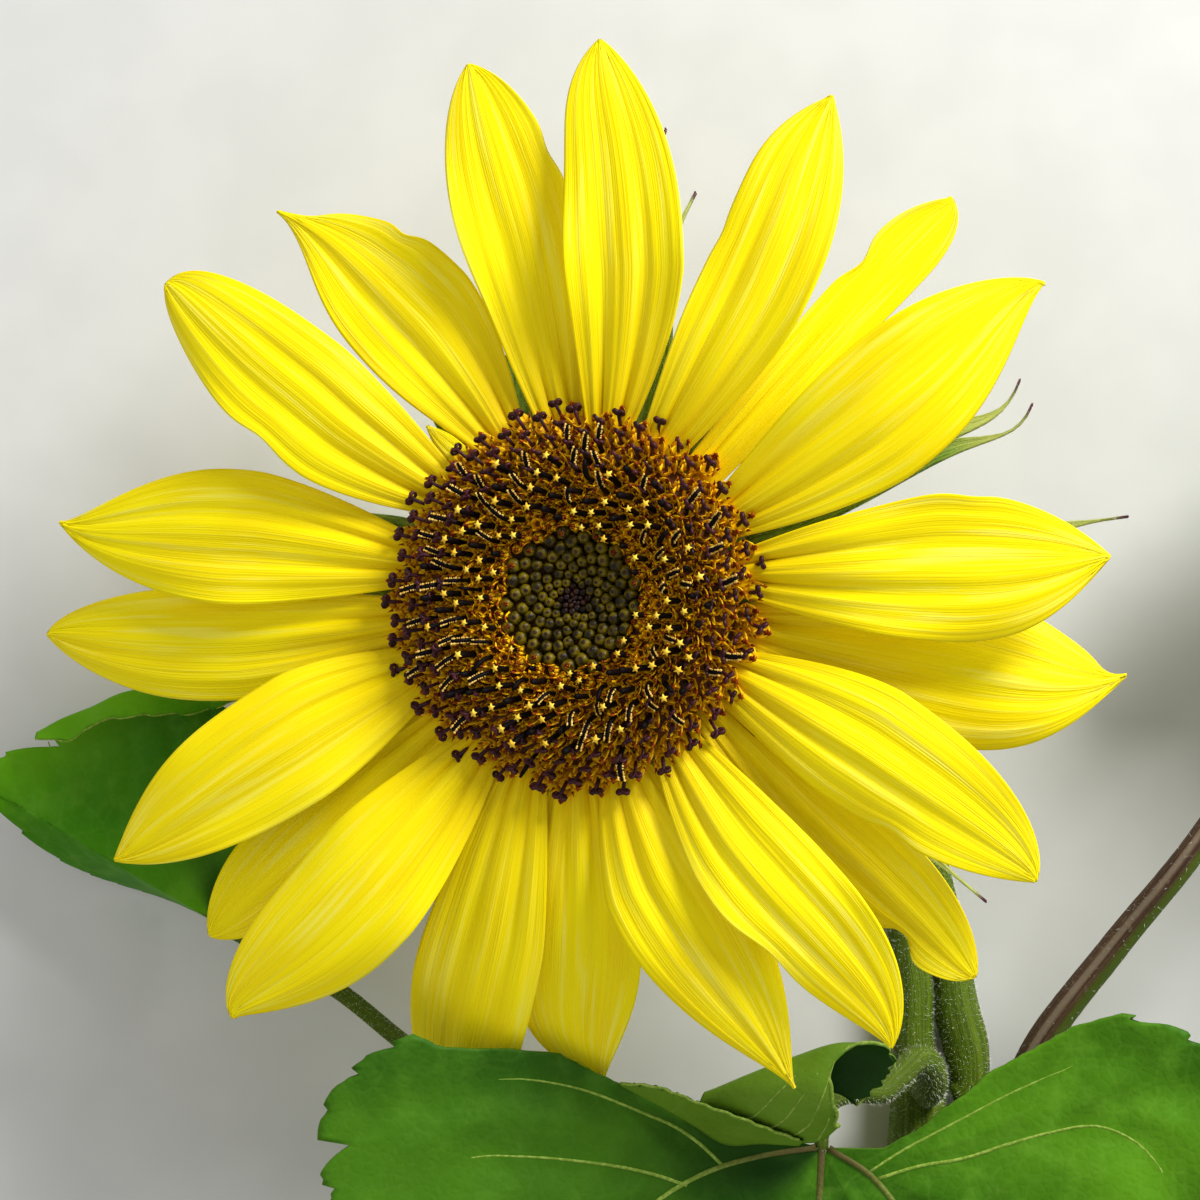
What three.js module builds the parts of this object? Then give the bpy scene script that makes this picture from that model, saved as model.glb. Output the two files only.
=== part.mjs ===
// A cut sunflower: one open bloom on its stem piece, with three leaves, lying face up on flat ground.
// Millimetres, +Z up. The ground is z = 0 and the origin is under the middle of the whole piece.
import * as THREE from 'three';

const radians = THREE.MathUtils.degToRad;
const mix = THREE.MathUtils.lerp;

// The bloom sits above this point of the ground, and leans towards -X by BLOOM_LEAN degrees.
const BLOOM_X = -44.3;
const BLOOM_Y = 70.5;
const BLOOM_HEIGHT = 50;
const BLOOM_LEAN = 14;

// Gap left between neighbouring solids.
const CLEARANCE = 0.35;

// Receptacle: the green cup under the florets. Heights are along the bloom's axis from the claws of the rays.
const CUP_TOP = -0.4;
const CUP_PROFILE = [
  [0, -16.6], [4.8, -16.6], [6.8, -14.2], [13, -10.6], [19.4, -6.8], [22.2, -4], [24.6, -1.2], [23.8, CUP_TOP], [0, CUP_TOP],
];
const CUP_SECTORS = 32;

// Disc: unopened buds in the middle, open florets in a ring round them. Each profile gives radius and height
// from the rim inwards, and its points from the first stud to the last carry studs.
const DISC_RADIUS = 27.2;
const DISC_SEAT = CUP_TOP + CLEARANCE;
const FLORETS = {
  profile: [
    [21.4, 2.5], [24, 2.7], [26.4, 3.7], [24.6, 4.4], [21.8, 5.8], [18.8, 7], [15.6, 7.7], [12.6, 7.4], [10.05, 6.6], [9.55, 5.8],
  ],
  firstStud: 3, lastStud: 7, sectors: 44, relief: 1.9,
};
const BUDS = {
  profile: [[9.2, 5], [8.3, 6.2], [6.3, 6.7], [4.2, 6.5], [2.2, 6.1], [0, 5.7]],
  firstStud: 1, lastStud: 4, sectors: 22, relief: 0.45,
};
const STUD_SPREAD = 0.55;
const STUD_LEAN = 0.45;

// Rays: the yellow strap florets. Three tiers lie one above the other.
const RAY_THICKNESS = 0.6;
const CLAW_RADIUS = 22.2;
const CLAW_WIDTH = 3.6;
const RAY_HANG = 0.08;
const RAY_RUN = 55;
const RAY_CREST_AT = 0.95;
const RAY_ROWS = 10;
const RAY_ROWS_CROWD = 1.5;
const RAY_COLUMNS = 4;
const TIER_BASE = [0.35, 0.75, 1.15];
const TIER_CREST = [0.6, 3.2, 5.6];
const TIER_TIP = [-7, -2.5, 1.5];

// One row for each ray, clockwise from the top: azimuth of its claw and of its tip, reach of the tip from
// the axis, tier and extra droop. Then its left and its right margin, seen along the ray: how far it swells
// from the line between claw and tip, where along the ray, and how sharply it closes to the tip.
const RAYS = [
  [79, 87.5, 78.2, 2, 0, [4.8, 0.78, 0.75], [12.6, 0.44, 0.85]],
  [61, 62.3, 78.4, 2, 0, [5.6, 0.74, 1], [10.7, 0.5, 0.9]],
  [44.5, 47.5, 75.8, 0, 0, [4, 0.78, 1.1], [5.4, 0.8, 0.5]],
  [28, 33.2, 78.7, 2, 0, [8.1, 0.58, 0.75], [11, 0.48, 1.45]],
  [9.5, 4.5, 75, 2, 0, [9.4, 0.57, 0.95], [10.9, 0.62, 1.05]],
  [-9, -7.8, 76.4, 0, 0, [9, 0.5, 1.5], [13.1, 0.6, 1]],
  [-24, -30.8, 75, 2, 0, [11.7, 0.46, 0.6], [6.4, 0.42, 0.85]],
  [-38, -43.5, 75.6, 0, 0, [7.4, 0.6, 0.75], [7, 0.55, 0.5]],
  [-55, -54.1, 75.9, 2, 0, [9.6, 0.64, 0.7], [7.9, 0.36, 1.3]],
  [-75, -66, 74.2, 1, 0, [7.5, 0.5, 1.3], [11.1, 0.36, 1.35]],
  [-91, -90.3, 68.8, 0, -11, [8, 0.45, 1.3], [10.5, 0.72, 0.7]],
  [-109, -107, 80, 1, -17, [9.2, 0.5, 0.6], [8.8, 0.62, 0.5]],
  [-123.5, -130.3, 78, 2, 0, [11.3, 0.5, 1.15], [7.9, 0.55, 0.5]],
  [-139, -139.5, 74.5, 0, 0, [7.5, 0.5, 0.65], [7.5, 0.5, 0.65]],
  [-157, -151.4, 77.8, 2, 0, [8.5, 0.42, 0.8], [10, 0.38, 0.9]],
  [-173, -176.4, 82, 0, 0, [10.5, 0.5, 0.85], [6, 0.6, 0.6]],
  [167, 171.8, 78.9, 1, 0, [8.8, 0.55, 0.88], [10.4, 0.47, 1.45]],
  [142, 143.5, 75.5, 2, 0, [9.6, 0.38, 0.7], [8.6, 0.5, 0.45]],
  [115, 129.8, 72.8, 0, 0, [5.5, 0.48, 2.2], [13.6, 0.45, 1.15]],
  [94.5, 102.5, 77.4, 1, 0, [6.7, 0.65, 0.8], [9.9, 0.55, 0.7]],
];

// A small stunted ray in the gap between two full ones.
const STUNTED_RAY = [129, 132, 33, 1, 2, [1.7, 0.4, 0.9], [1.7, 0.4, 0.9]];

// Bracts: green pointed leaves under the rays, in two whorls. Azimuth of base and tip, reach, sideways bow, how
// late along the bract the bow comes, and sharpness of the point.
const BRACT_THICKNESS = 0.8;
const BRACT_WIDTH = 7.6;
const BRACT_BASE_RADIUS = 25.1;
const BRACT_WHORL_STEP = 2.2;
const BRACT_BASE_HEIGHT = [-1.9, -4.4];
const BRACT_TIP_HEIGHT = [-10, -14];
const BRACT_SAG = -5;
const BRACT_SAG_AZIMUTH = -99;
const BRACT_SAG_SPREAD = 12;
const BRACT_CLAW = 0.86;
const BRACT_BELLY = 0.16;
const BRACT_FALL = 1.3;
const BRACT_HANG = 0.05;
const BRACT_ROWS = 7;
const BRACT_COLUMNS = 2;
const BRACTS = [
  [90, 81.5, 67.5, 0, 1.6, 2.4],
  [72, 77, 59.5, 1.6, 1.6, 2.6],
  [53, 50, 56, 0, 1.6, 2],
  [24.5, 27.2, 67.4, -2.7, 5, 1.8],
  [22.5, 23.6, 68, -2.2, 6, 2.5],
  [0, 8.8, 76, 0.4, 1.6, 2],
  [-17, -14, 57, 0, 1.6, 2],
  [-36, -37.5, 69.5, 1, 1.6, 2.6],
  [-54, -50, 55, 0.8, 1.6, 2],
  [-71, -66, 66, -1, 1.6, 2.6],
  [-90, -93, 50, 0.8, 1.6, 2],
  [-108, -110, 50, -0.6, 1.6, 2],
  [-126, -131, 54, 1, 1.6, 2],
  [-144, -146, 56, -0.8, 1.6, 2],
  [-162, -158, 57, 0.6, 1.6, 2],
  [180, 178, 58, -1.2, 1.6, 2],
  [162, 166, 57, 1, 1.6, 2],
  [144, 142, 56, -0.6, 1.6, 2],
  [126, 123, 54, 0.8, 1.6, 2],
  [108, 104, 56, -1, 1.6, 2],
];

// Stems and leaf stalks: points of the centre line from the point of the ground under the bloom, each with
// the radius there. The stem runs whole from its cut end to the bloom, and the rest spring from it.
const STEM = [
  [46, -150, 4.4, 4.4],
  [48, -120, 4.4, 4.3],
  [49.5, -95, 4.5, 4.3],
  [50.6, -78, 5.0, 4.5],
  [49.8, -66, 5.6, 3.0],
  [49.8, -57, 5.2, 2.7],
  [46.6, -42, 3.8, 2.75],
  [37, -22, 2.9, 2.9],
  [25.5, -8.5, 4.6, 3.2],
  [14, -2, 12, 3.7],
  [7.4, -0.2, 22, 4.3],
  [4.15, 0, 33.2, 4.8],
];
const SIDE_STEM = [
  [55.6, -74.4, 5.4, 2.3],
  [57.7, -73.0, 5.3, 2.8],
  [57.7, -67.5, 4.8, 3.3],
  [56.5, -62, 4.6, 3.2],
  [56, -57, 4.2, 2.75],
  [54, -48, 3.6, 2.8],
  [50, -30, 3.2, 2.9],
  [45.5, -4, 3.1, 2.9],
];
const LOW_LEAF_STALK = [
  [51.2, -73.2, 10.2, 2.3],
  [51.8, -72.2, 12.4, 2.3],
  [51.5, -69, 15.4, 2.3],
  [49.4, -67.4, 18.8, 2.0],
  [46.6, -69.4, 22, 1.8],
  [43.8, -71.6, 24.6, 1.6],
  [40.2, -71.4, 27, 1.5],
  [36.6, -72.2, 29, 1.4],
  [34.9, -74.8, 30, 1.4],
  [34.7, -77.2, 30.6, 1.3],
];
const RIGHT_LEAF_STALK = [
  [54.6, -97.3, 4.9, 2.6],
  [56.4, -96.8, 5.1, 2.6],
  [61, -87, 7.4, 2.4],
  [64, -76, 9.8, 2.4],
  [67.6, -66.4, 12.5, 2.3],
  [78.6, -50.6, 18, 2.1],
  [89, -36.6, 24, 1.95],
  [101, -18, 28, 1.8],
  [113.4, 0.9, 27.4, 1.6],
];
const LEFT_LEAF_STALK = [
  [42.8, -113.5, 5.0, 2.2],
  [20, -99, 5.0, 1.6],
  [-10, -78, 6.0, 1.35],
  [-26.3, -66, 9, 1.3],
  [-36.5, -57.6, 11.4, 1.3],
  [-53.5, -47.8, 13.5, 1.2],
];

// Leaves: base point from the same ground point, heading of the midrib, length, then for the two halves (left
// of the heading first) the half width, slope, how much the slope opens towards the tip, angle from the heading
// back to which the lobe reaches, its reach there as a share of the half width, and how its rear edge runs out
// from the stalk: shares of the reach and of that angle. Last come the drop of the tip and the thickness.
const LEAVES = {
  leaf_low: {
    base: [34.7, -78.8, 32], heading: -93, length: 140, halves: [66, 73], slopes: [6, 10], twists: [0, 0],
    backs: [119, 102.5], lobes: [0.69, 0.867],
    edges: [
      [[0, 0.78], [0.13, 0.78], [0.32, 0.935], [0.55, 0.992], [0.9, 1.005], [1, 0.99]],
      [[0, 1.02], [0.53, 1.015], [0.76, 1.036], [0.9, 0.991], [1, 1]],
    ],
    bulges: [0.22, 0.22], drop: 31.1, thickness: 1.6, rows: 9, columns: 16,
  },
  leaf_right: {
    base: [115, 2.8, 29.4], heading: 42, length: 87.7, halves: [30, 37], slopes: [6, -8], twists: [0, 0],
    backs: [124, 126], lobes: [0.62, 0.66], edges: [[[0, 1], [1, 1]], [[0, 1], [1, 1]]],
    bulges: [0.22, 0.22], drop: 28.6, thickness: 1.0, rows: 5, columns: 12,
  },
  leaf_left: {
    base: [-54.5, -47, 14.5], heading: 150, length: 43, halves: [9.2, 29], slopes: [-84, 6], twists: [84, 0],
    backs: [112, 116], lobes: [0.66, 0.8], edges: [[[0, 1], [1, 1]], [[0, 1], [1, 1]]],
    bulges: [0.75, 0.38], drop: 3, thickness: 1.0, rows: 6, columns: 16,
  },
};
const LEAF_ROOT = 0.035;
const LEAF_FAN = 1.35;
const LEAF_DROOP = 1.6;

// The lobe of the low leaf that is turned up along a crease beside its stalk, and curls over at its end.
const FLAP_CREASE = [[6, -69.8, 38.8], [20, -74.4, 36.3], [30.5, -77.8, 34.4], [37.5, -75.6, 34.6], [42.5, -69.5, 37]];
const FLAP_HEIGHT = [1.2, 5, 10.5, 14.5, 9];
const FLAP_THICKNESS = 0.8;
const FLAP_LEAN = [0.35, 0.8, 0.6];
const FLAP_ROWS = 8;
const FLAP_COLUMNS = 2;

// Steps along each limb and sides round it.
const STEM_GRID = [44, 10];
const STALK_GRID = [18, 8];

// Curves shared by rays and bracts: how fast they swell from the claw and taper to the tip, and how wide the
// very tip stays.
const STRAP_SWELL = 1.5;
const STRAP_TAPER = 2.4;
const STRAP_TIP = 0.3;

const finish = (color, roughness) => new THREE.MeshStandardMaterial({ color, roughness, metalness: 0 });
const rayYellow = finish('#f6df12', 0.55);
const budOlive = finish('#5d5a14', 0.7);
const floretBrown = finish('#6b3a16', 0.7);
const bractGreen = finish('#5e8a35', 0.6);
const stemGreen = finish('#6f8a3c', 0.7);
const leafGreen = finish('#3f7a2c', 0.6);

const plant = new THREE.Group();
plant.position.set(BLOOM_X, BLOOM_Y, 0);

const bloom = new THREE.Group();
bloom.position.z = BLOOM_HEIGHT;
bloom.rotation.y = -radians(BLOOM_LEAN);
plant.add(bloom);

function addMesh(parent, name, geometry, material) {
  const mesh = new THREE.Mesh(geometry, material);
  mesh.name = name;
  parent.add(mesh);
  return mesh;
}

function meshFrom(vertices, triangles) {
  const geometry = new THREE.BufferGeometry();
  geometry.setAttribute('position', new THREE.Float32BufferAttribute(vertices.flatMap((v) => v.toArray()), 3));
  geometry.setIndex(triangles);
  geometry.computeVertexNormals();
  return geometry;
}

// A thin closed sheet: surface(t, s) gives its middle for t from 0 to 1 along it and s from -1 to 1 across.
function sheet(surface, rows, columns, thickness) {
  const step = 0.004;
  const top = [];
  const bottom = [];
  for (let row = 0; row <= rows; row++) {
    for (let column = 0; column <= columns; column++) {
      const t = row / rows;
      const s = -1 + 2 * column / columns;
      const t0 = Math.max(t - step, 0);
      const t1 = Math.min(t + step, 1);
      const along = surface(t1, s).sub(surface(t0, s));
      const across = surface(t, Math.min(s + step, 1)).sub(surface(t, Math.max(s - step, -1)));
      const normal = along.cross(across).normalize().multiplyScalar(thickness / 2);
      top.push(surface(t, s).add(normal));
      bottom.push(surface(t, s).sub(normal));
    }
  }
  const width = columns + 1;
  const count = top.length;
  const triangles = [];
  const quad = (a, b, c, d) => triangles.push(a, b, c, a, c, d);
  for (let row = 0; row < rows; row++) {
    for (let column = 0; column < columns; column++) {
      const a = row * width + column;
      quad(a, a + width, a + width + 1, a + 1);
      quad(count + a, count + a + 1, count + a + width + 1, count + a + width);
    }
  }
  for (let column = 0; column < columns; column++) {
    const first = column;
    const last = rows * width + column;
    quad(first, first + 1, count + first + 1, count + first);
    quad(last + 1, last, count + last, count + last + 1);
  }
  for (let row = 0; row < rows; row++) {
    const left = row * width;
    const right = left + columns;
    quad(left + width, left, count + left, count + left + width);
    quad(right, right + width, count + right + width, count + right);
  }
  return meshFrom(top.concat(bottom), triangles);
}

// A round limb that tapers along a smooth line through [x, y, z, radius] stations, with flat ends.
function limb(stations, steps, sides) {
  const path = new THREE.CatmullRomCurve3(stations.map(([x, y, z]) => new THREE.Vector3(x, y, z)), false, 'centripetal');
  const frames = path.computeFrenetFrames(steps, false);
  const vertices = [];
  const triangles = [];
  for (let step = 0; step <= steps; step++) {
    const t = step / steps;
    const place = path.getUtoTmapping(t) * (stations.length - 1);
    const station = Math.min(Math.floor(place), stations.length - 2);
    const radius = mix(stations[station][3], stations[station + 1][3], place - station);
    const centre = path.getPointAt(t);
    for (let side = 0; side < sides; side++) {
      const angle = 2 * Math.PI * side / sides;
      const spoke = frames.normals[step].clone().multiplyScalar(radius * Math.cos(angle));
      spoke.addScaledVector(frames.binormals[step], radius * Math.sin(angle));
      vertices.push(centre.clone().add(spoke));
    }
  }
  for (let step = 0; step < steps; step++) {
    for (let side = 0; side < sides; side++) {
      const a = step * sides + side;
      const b = step * sides + (side + 1) % sides;
      triangles.push(a, b, b + sides, a, b + sides, a + sides);
    }
  }
  const start = vertices.push(path.getPointAt(0)) - 1;
  const end = vertices.push(path.getPointAt(1)) - 1;
  const last = steps * sides;
  for (let side = 0; side < sides; side++) {
    const next = (side + 1) % sides;
    triangles.push(start, next, side);
    triangles.push(end, last + side, last + next);
  }
  return meshFrom(vertices, triangles);
}

function turned(profile, sectors) {
  const geometry = new THREE.LatheGeometry(profile.map(([radius, height]) => new THREE.Vector2(radius, height)), sectors);
  geometry.rotateX(Math.PI / 2);
  return geometry;
}

// A turned body whose points from one index to another carry studs: every second vertex stands out.
function studded(profile, sectors, firstStud, lastStud, relief) {
  const geometry = turned(profile, sectors);
  const position = geometry.getAttribute('position');
  for (let sector = 0; sector <= sectors; sector++) {
    for (let index = firstStud; index <= lastStud; index++) {
      if ((sector + index) % 2 === 0) {
        continue;
      }
      const vertex = sector * profile.length + index;
      const radius = profile[index][0];
      const lean = radius / DISC_RADIUS;
      const outward = relief * STUD_SPREAD * lean;
      position.setX(vertex, position.getX(vertex) * (1 + outward / radius));
      position.setY(vertex, position.getY(vertex) * (1 + outward / radius));
      position.setZ(vertex, position.getZ(vertex) + relief * (1 - STUD_LEAN * lean));
    }
  }
  return geometry;
}

// Half width of a ray or bract at t, as a share of its greatest: a narrow claw, a belly, then a pointed end.
function strapWidth(t, claw, belly, sharpness) {
  if (t < belly) {
    return claw + (1 - claw) * (1 - (1 - t / belly) ** STRAP_SWELL);
  }
  return Math.max(1 - ((t - belly) / (1 - belly)) ** STRAP_TAPER, 0) ** sharpness;
}

function polar(radius, azimuth) {
  return new THREE.Vector2(radius * Math.cos(radians(azimuth)), radius * Math.sin(radians(azimuth)));
}

// How far a margin lies from the line between base and tip.
function margin([swell, place, sharpness], baseWidth) {
  return (t) => Math.max(swell * strapWidth(t, baseWidth / 2 / swell, place, sharpness), STRAP_TIP);
}

// A straplike floret or bract: left(t) and right(t) give its margins in plan from the line between base and tip,
// and its height follows rise(t). Its margins hang a little below its middle.
function strap({ base, tip, left, right, rise, hang }) {
  const run = tip.clone().sub(base);
  const side = new THREE.Vector2(-run.y, run.x).normalize();
  return (t, s) => {
    const half = (left(t) + right(t)) / 2;
    const centre = (left(t) - right(t)) / 2;
    const place = base.clone().addScaledVector(run, t).addScaledVector(side, centre + half * s);
    return new THREE.Vector3(place.x, place.y, rise(t) - hang * half * s * s);
  };
}

function rayGeometry([clawAzimuth, tipAzimuth, reach, tier, droop, left, right]) {
  const crest = TIER_CREST[tier] - TIER_BASE[tier];
  const fall = TIER_TIP[tier] + droop - TIER_BASE[tier];
  const scale = (reach - CLAW_RADIUS) / RAY_RUN;
  const surface = strap({
    base: polar(CLAW_RADIUS, clawAzimuth),
    tip: polar(reach, tipAzimuth),
    left: margin(left, CLAW_WIDTH),
    right: margin(right, CLAW_WIDTH),
    rise: (t) => TIER_BASE[tier] + scale * (crest * Math.sin(Math.PI * t * RAY_CREST_AT) + fall * t ** 2),
    hang: RAY_HANG,
  });
  const crowded = (u, s) => surface(1 - (1 - u) ** RAY_ROWS_CROWD, s);
  return sheet(crowded, RAY_ROWS, RAY_COLUMNS, RAY_THICKNESS);
}

function bractGeometry([baseAzimuth, tipAzimuth, reach, bow, late, sharpness], whorl) {
  const low = BRACT_BASE_HEIGHT[whorl];
  const sag = Math.abs(baseAzimuth - BRACT_SAG_AZIMUTH) < BRACT_SAG_SPREAD ? BRACT_SAG : 0;
  const fall = BRACT_TIP_HEIGHT[whorl] - low + sag;
  const half = margin([BRACT_WIDTH / 2, BRACT_BELLY, sharpness], BRACT_WIDTH * BRACT_CLAW);
  const sway = (t) => bow * Math.sin(Math.PI * t ** late);
  const surface = strap({
    base: polar(BRACT_BASE_RADIUS - BRACT_WHORL_STEP * whorl, baseAzimuth),
    tip: polar(reach, tipAzimuth),
    left: (t) => half(t) + sway(t),
    right: (t) => half(t) - sway(t),
    rise: (t) => low + fall * t ** BRACT_FALL,
    hang: BRACT_HANG,
  });
  return sheet(surface, BRACT_ROWS, BRACT_COLUMNS, BRACT_THICKNESS);
}

// The value at x of a line through [x, value] points.
function along(points, x) {
  const next = Math.max(points.findIndex(([end]) => end >= x), 1);
  const [[x0, y0], [x1, y1]] = [points[next - 1], points[next]];
  return mix(y0, y1, (x - x0) / (x1 - x0));
}

// How far a heart-shaped blade reaches from its base at an angle from its heading.
function leafReach(angle, length, half, back, lobe, bulge) {
  const quarter = Math.PI / 2;
  if (angle <= quarter) {
    return (1 + bulge * Math.sin(2 * angle)) / (Math.cos(angle) / length + Math.sin(angle) / half);
  }
  return half * (1 - (1 - lobe) * ((angle - quarter) / (back - quarter)) ** 2);
}

// A leaf blade in two sloping halves that meet along the midrib. Its rows run round the base, as the main
// veins run out from it.
function leafGeometry(leaf) {
  const surface = (t, s) => {
    const half = s > 0 ? 0 : 1;
    const back = radians(leaf.backs[half]);
    const share = Math.abs(s) ** LEAF_FAN;
    const angle = back * share * (1 + (along(leaf.edges[half], t) - 1) * share);
    const reach = leafReach(angle, leaf.length, leaf.halves[half], back, leaf.lobes[half], leaf.bulges[half]);
    const out = reach * mix(LEAF_ROOT, 1, t);
    const ahead = out * Math.cos(angle);
    const aside = out * Math.sin(angle);
    const forward = Math.max(ahead / leaf.length, 0);
    const slope = radians(leaf.slopes[half] + leaf.twists[half] * forward ** 2);
    const fall = leaf.drop * forward ** LEAF_DROOP;
    return new THREE.Vector3(ahead, Math.sign(s) * aside * Math.cos(slope), aside * Math.sin(slope) - fall);
  };
  const geometry = sheet(surface, leaf.rows, leaf.columns, leaf.thickness);
  geometry.rotateZ(radians(leaf.heading));
  geometry.translate(...leaf.base);
  return geometry;
}

function flapGeometry() {
  const crease = new THREE.CatmullRomCurve3(FLAP_CREASE.map((point) => new THREE.Vector3(...point)));
  const surface = (t, s) => {
    const place = t * (FLAP_HEIGHT.length - 1);
    const station = Math.min(Math.floor(place), FLAP_HEIGHT.length - 2);
    const height = mix(FLAP_HEIGHT[station], FLAP_HEIGHT[station + 1], place - station);
    const up = (s + 1) / 2;
    const curl = up * t;
    const lean = new THREE.Vector3(FLAP_LEAN[0] * curl, FLAP_LEAN[1], FLAP_LEAN[2]);
    return crease.getPoint(t).addScaledVector(lean, height * up);
  };
  return sheet(surface, FLAP_ROWS, FLAP_COLUMNS, FLAP_THICKNESS);
}

// The ring of open florets: its studded top, down its inner side to its seat on the cup.
function floretGeometry({ profile, sectors, firstStud, lastStud, relief }) {
  const outer = profile[0][0];
  const inner = profile[profile.length - 1][0];
  const closed = [[inner, DISC_SEAT], [outer, DISC_SEAT], ...profile, [inner, DISC_SEAT]];
  return studded(closed, sectors, firstStud + 2, lastStud + 2, relief);
}

// The middle of unopened buds, from its seat over its studded top to the axis.
function budGeometry({ profile, sectors, firstStud, lastStud, relief }) {
  const closed = [[0, DISC_SEAT], [profile[0][0], DISC_SEAT], ...profile];
  return studded(closed, sectors, firstStud + 2, lastStud + 2, relief);
}

addMesh(bloom, 'receptacle', turned(CUP_PROFILE, CUP_SECTORS), bractGreen);
addMesh(bloom, 'disc_florets', floretGeometry(FLORETS), floretBrown);
addMesh(bloom, 'disc_buds', budGeometry(BUDS), budOlive);

const number = (index) => String(index + 1).padStart(2, '0');
RAYS.forEach((ray, index) => addMesh(bloom, `ray_${number(index)}`, rayGeometry(ray), rayYellow));
addMesh(bloom, 'ray_stunted', rayGeometry(STUNTED_RAY), rayYellow);
BRACTS.forEach((bract, index) => addMesh(bloom, `bract_${number(index)}`, bractGeometry(bract, index % 2), bractGreen));

addMesh(plant, 'stem', limb(STEM, ...STEM_GRID), stemGreen);
addMesh(plant, 'side_stem', limb(SIDE_STEM, ...STALK_GRID), stemGreen);
addMesh(plant, 'leaf_low_stalk', limb(LOW_LEAF_STALK, ...STALK_GRID), stemGreen);
addMesh(plant, 'leaf_right_stalk', limb(RIGHT_LEAF_STALK, ...STALK_GRID), stemGreen);
addMesh(plant, 'leaf_left_stalk', limb(LEFT_LEAF_STALK, ...STALK_GRID), stemGreen);
for (const [name, leaf] of Object.entries(LEAVES)) {
  addMesh(plant, name, leafGeometry(leaf), leafGreen);
}
addMesh(plant, 'leaf_low_flap', flapGeometry(), leafGreen);

export default plant;
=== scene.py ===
# A cut sunflower: one open bloom on its stem piece, with three leaves, lying face up. Sizes are in
# millimetres until a mesh is made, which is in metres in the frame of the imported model.
import math

import bpy
import numpy as np
from mathutils import Matrix, Vector


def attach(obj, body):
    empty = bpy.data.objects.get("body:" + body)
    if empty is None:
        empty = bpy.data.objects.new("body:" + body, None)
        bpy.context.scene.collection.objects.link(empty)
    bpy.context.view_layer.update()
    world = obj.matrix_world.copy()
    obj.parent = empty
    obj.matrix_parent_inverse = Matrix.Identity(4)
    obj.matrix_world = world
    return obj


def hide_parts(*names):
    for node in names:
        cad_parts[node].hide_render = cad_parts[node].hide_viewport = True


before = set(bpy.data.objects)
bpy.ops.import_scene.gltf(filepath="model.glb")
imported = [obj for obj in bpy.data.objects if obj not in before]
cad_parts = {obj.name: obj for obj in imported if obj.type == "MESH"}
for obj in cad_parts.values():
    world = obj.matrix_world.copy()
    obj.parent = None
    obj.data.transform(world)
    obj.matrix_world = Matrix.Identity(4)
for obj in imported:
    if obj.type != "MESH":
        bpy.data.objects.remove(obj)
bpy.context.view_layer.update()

MM = 0.001
TAU = 2 * math.pi
GOLDEN_ANGLE = math.pi * (3 - math.sqrt(5))

# The bloom sits above this point of the ground, and leans towards -X by BLOOM_LEAN degrees.
BLOOM_X = -44.3
BLOOM_Y = 70.5
BLOOM_HEIGHT = 50
BLOOM_LEAN = 14

# Receptacle: the green cup under the florets, as radius and height. Heights are along the bloom's axis from
# the claws of the rays.
CUP_PROFILE = [[4.8, -16.6], [6.8, -14.2], [13, -10.6], [19.4, -6.8], [22.2, -4], [24.6, -1.2], [23.8, -0.4]]
CUP_SIDES = 96
CUP_RINGS = 40
CUP_RIBS = 20
CUP_RIB_DEPTH = 0.02

# Disc: the tips of its florets make a dome that sinks towards the middle and falls to the rim.
DISC_REACH = 26.4
DISC_FLORETS = 450
DISC_EXPONENT = 0.83
DOME_CREST = 7.4
DOME_CREST_RADIUS = 14.5
DOME_RIM_FALL = 4.3
DOME_MIDDLE_FALL = 3.4
RIM_TILT = 58
MIDDLE_TILT = -15
MIDDLE_RADIUS = 6.0
TILT_GROWTH = 1.25
# Florets grow by this power of their share of the way out, and stand this much lower than the dome.
FLORET_GROWTH = 0.3
FLORET_SINK = 0.6
# How far single florets stray: distance and height, angle round the axis and turn on their own axis in
# radians, tilt in degrees, and size as a share.
STRAY_OUT = 0.16
STRAY_ROUND = 0.02
STRAY_UP = 0.35
STRAY_TILT = 9.0
STRAY_TURN = 0.5
STRAY_SIZE = 0.1
# The bed that the florets stand on lies inside the dome.
BED_INSET = 3.4
BED_DEPTH = 2.4
BED_FOOT_RADIUS = 20.6
BED_RINGS = 30
BED_SIDES = 72

# Rays: three tiers lie one above the other. Grids are rows and columns of points.
RAY_GRID = [64, 41]
RAY_LENGTH = 55
RAY_WIDTH = 17
RAY_THICKNESS = 0.5
RAY_EDGE = 0.11
CLAW_RADIUS = 22.2
CLAW_WIDTH = 5.2
TIER_BASE = [0.35, 0.75, 1.15]
TIER_CREST = [0.6, 3.2, 5.6]
TIER_TIP = [-7, -2.5, 1.5]
FURROW_DEPTH = 0.66
PLEAT_DEPTHS = [0.14, 0.07]
PLEAT_WAVES = [2.6, 5.9]
# Powers by which rays and bracts swell from the claw and close to the tip.
STRAP_SWELL = 1.5
STRAP_TAPER = 2.4

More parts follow.
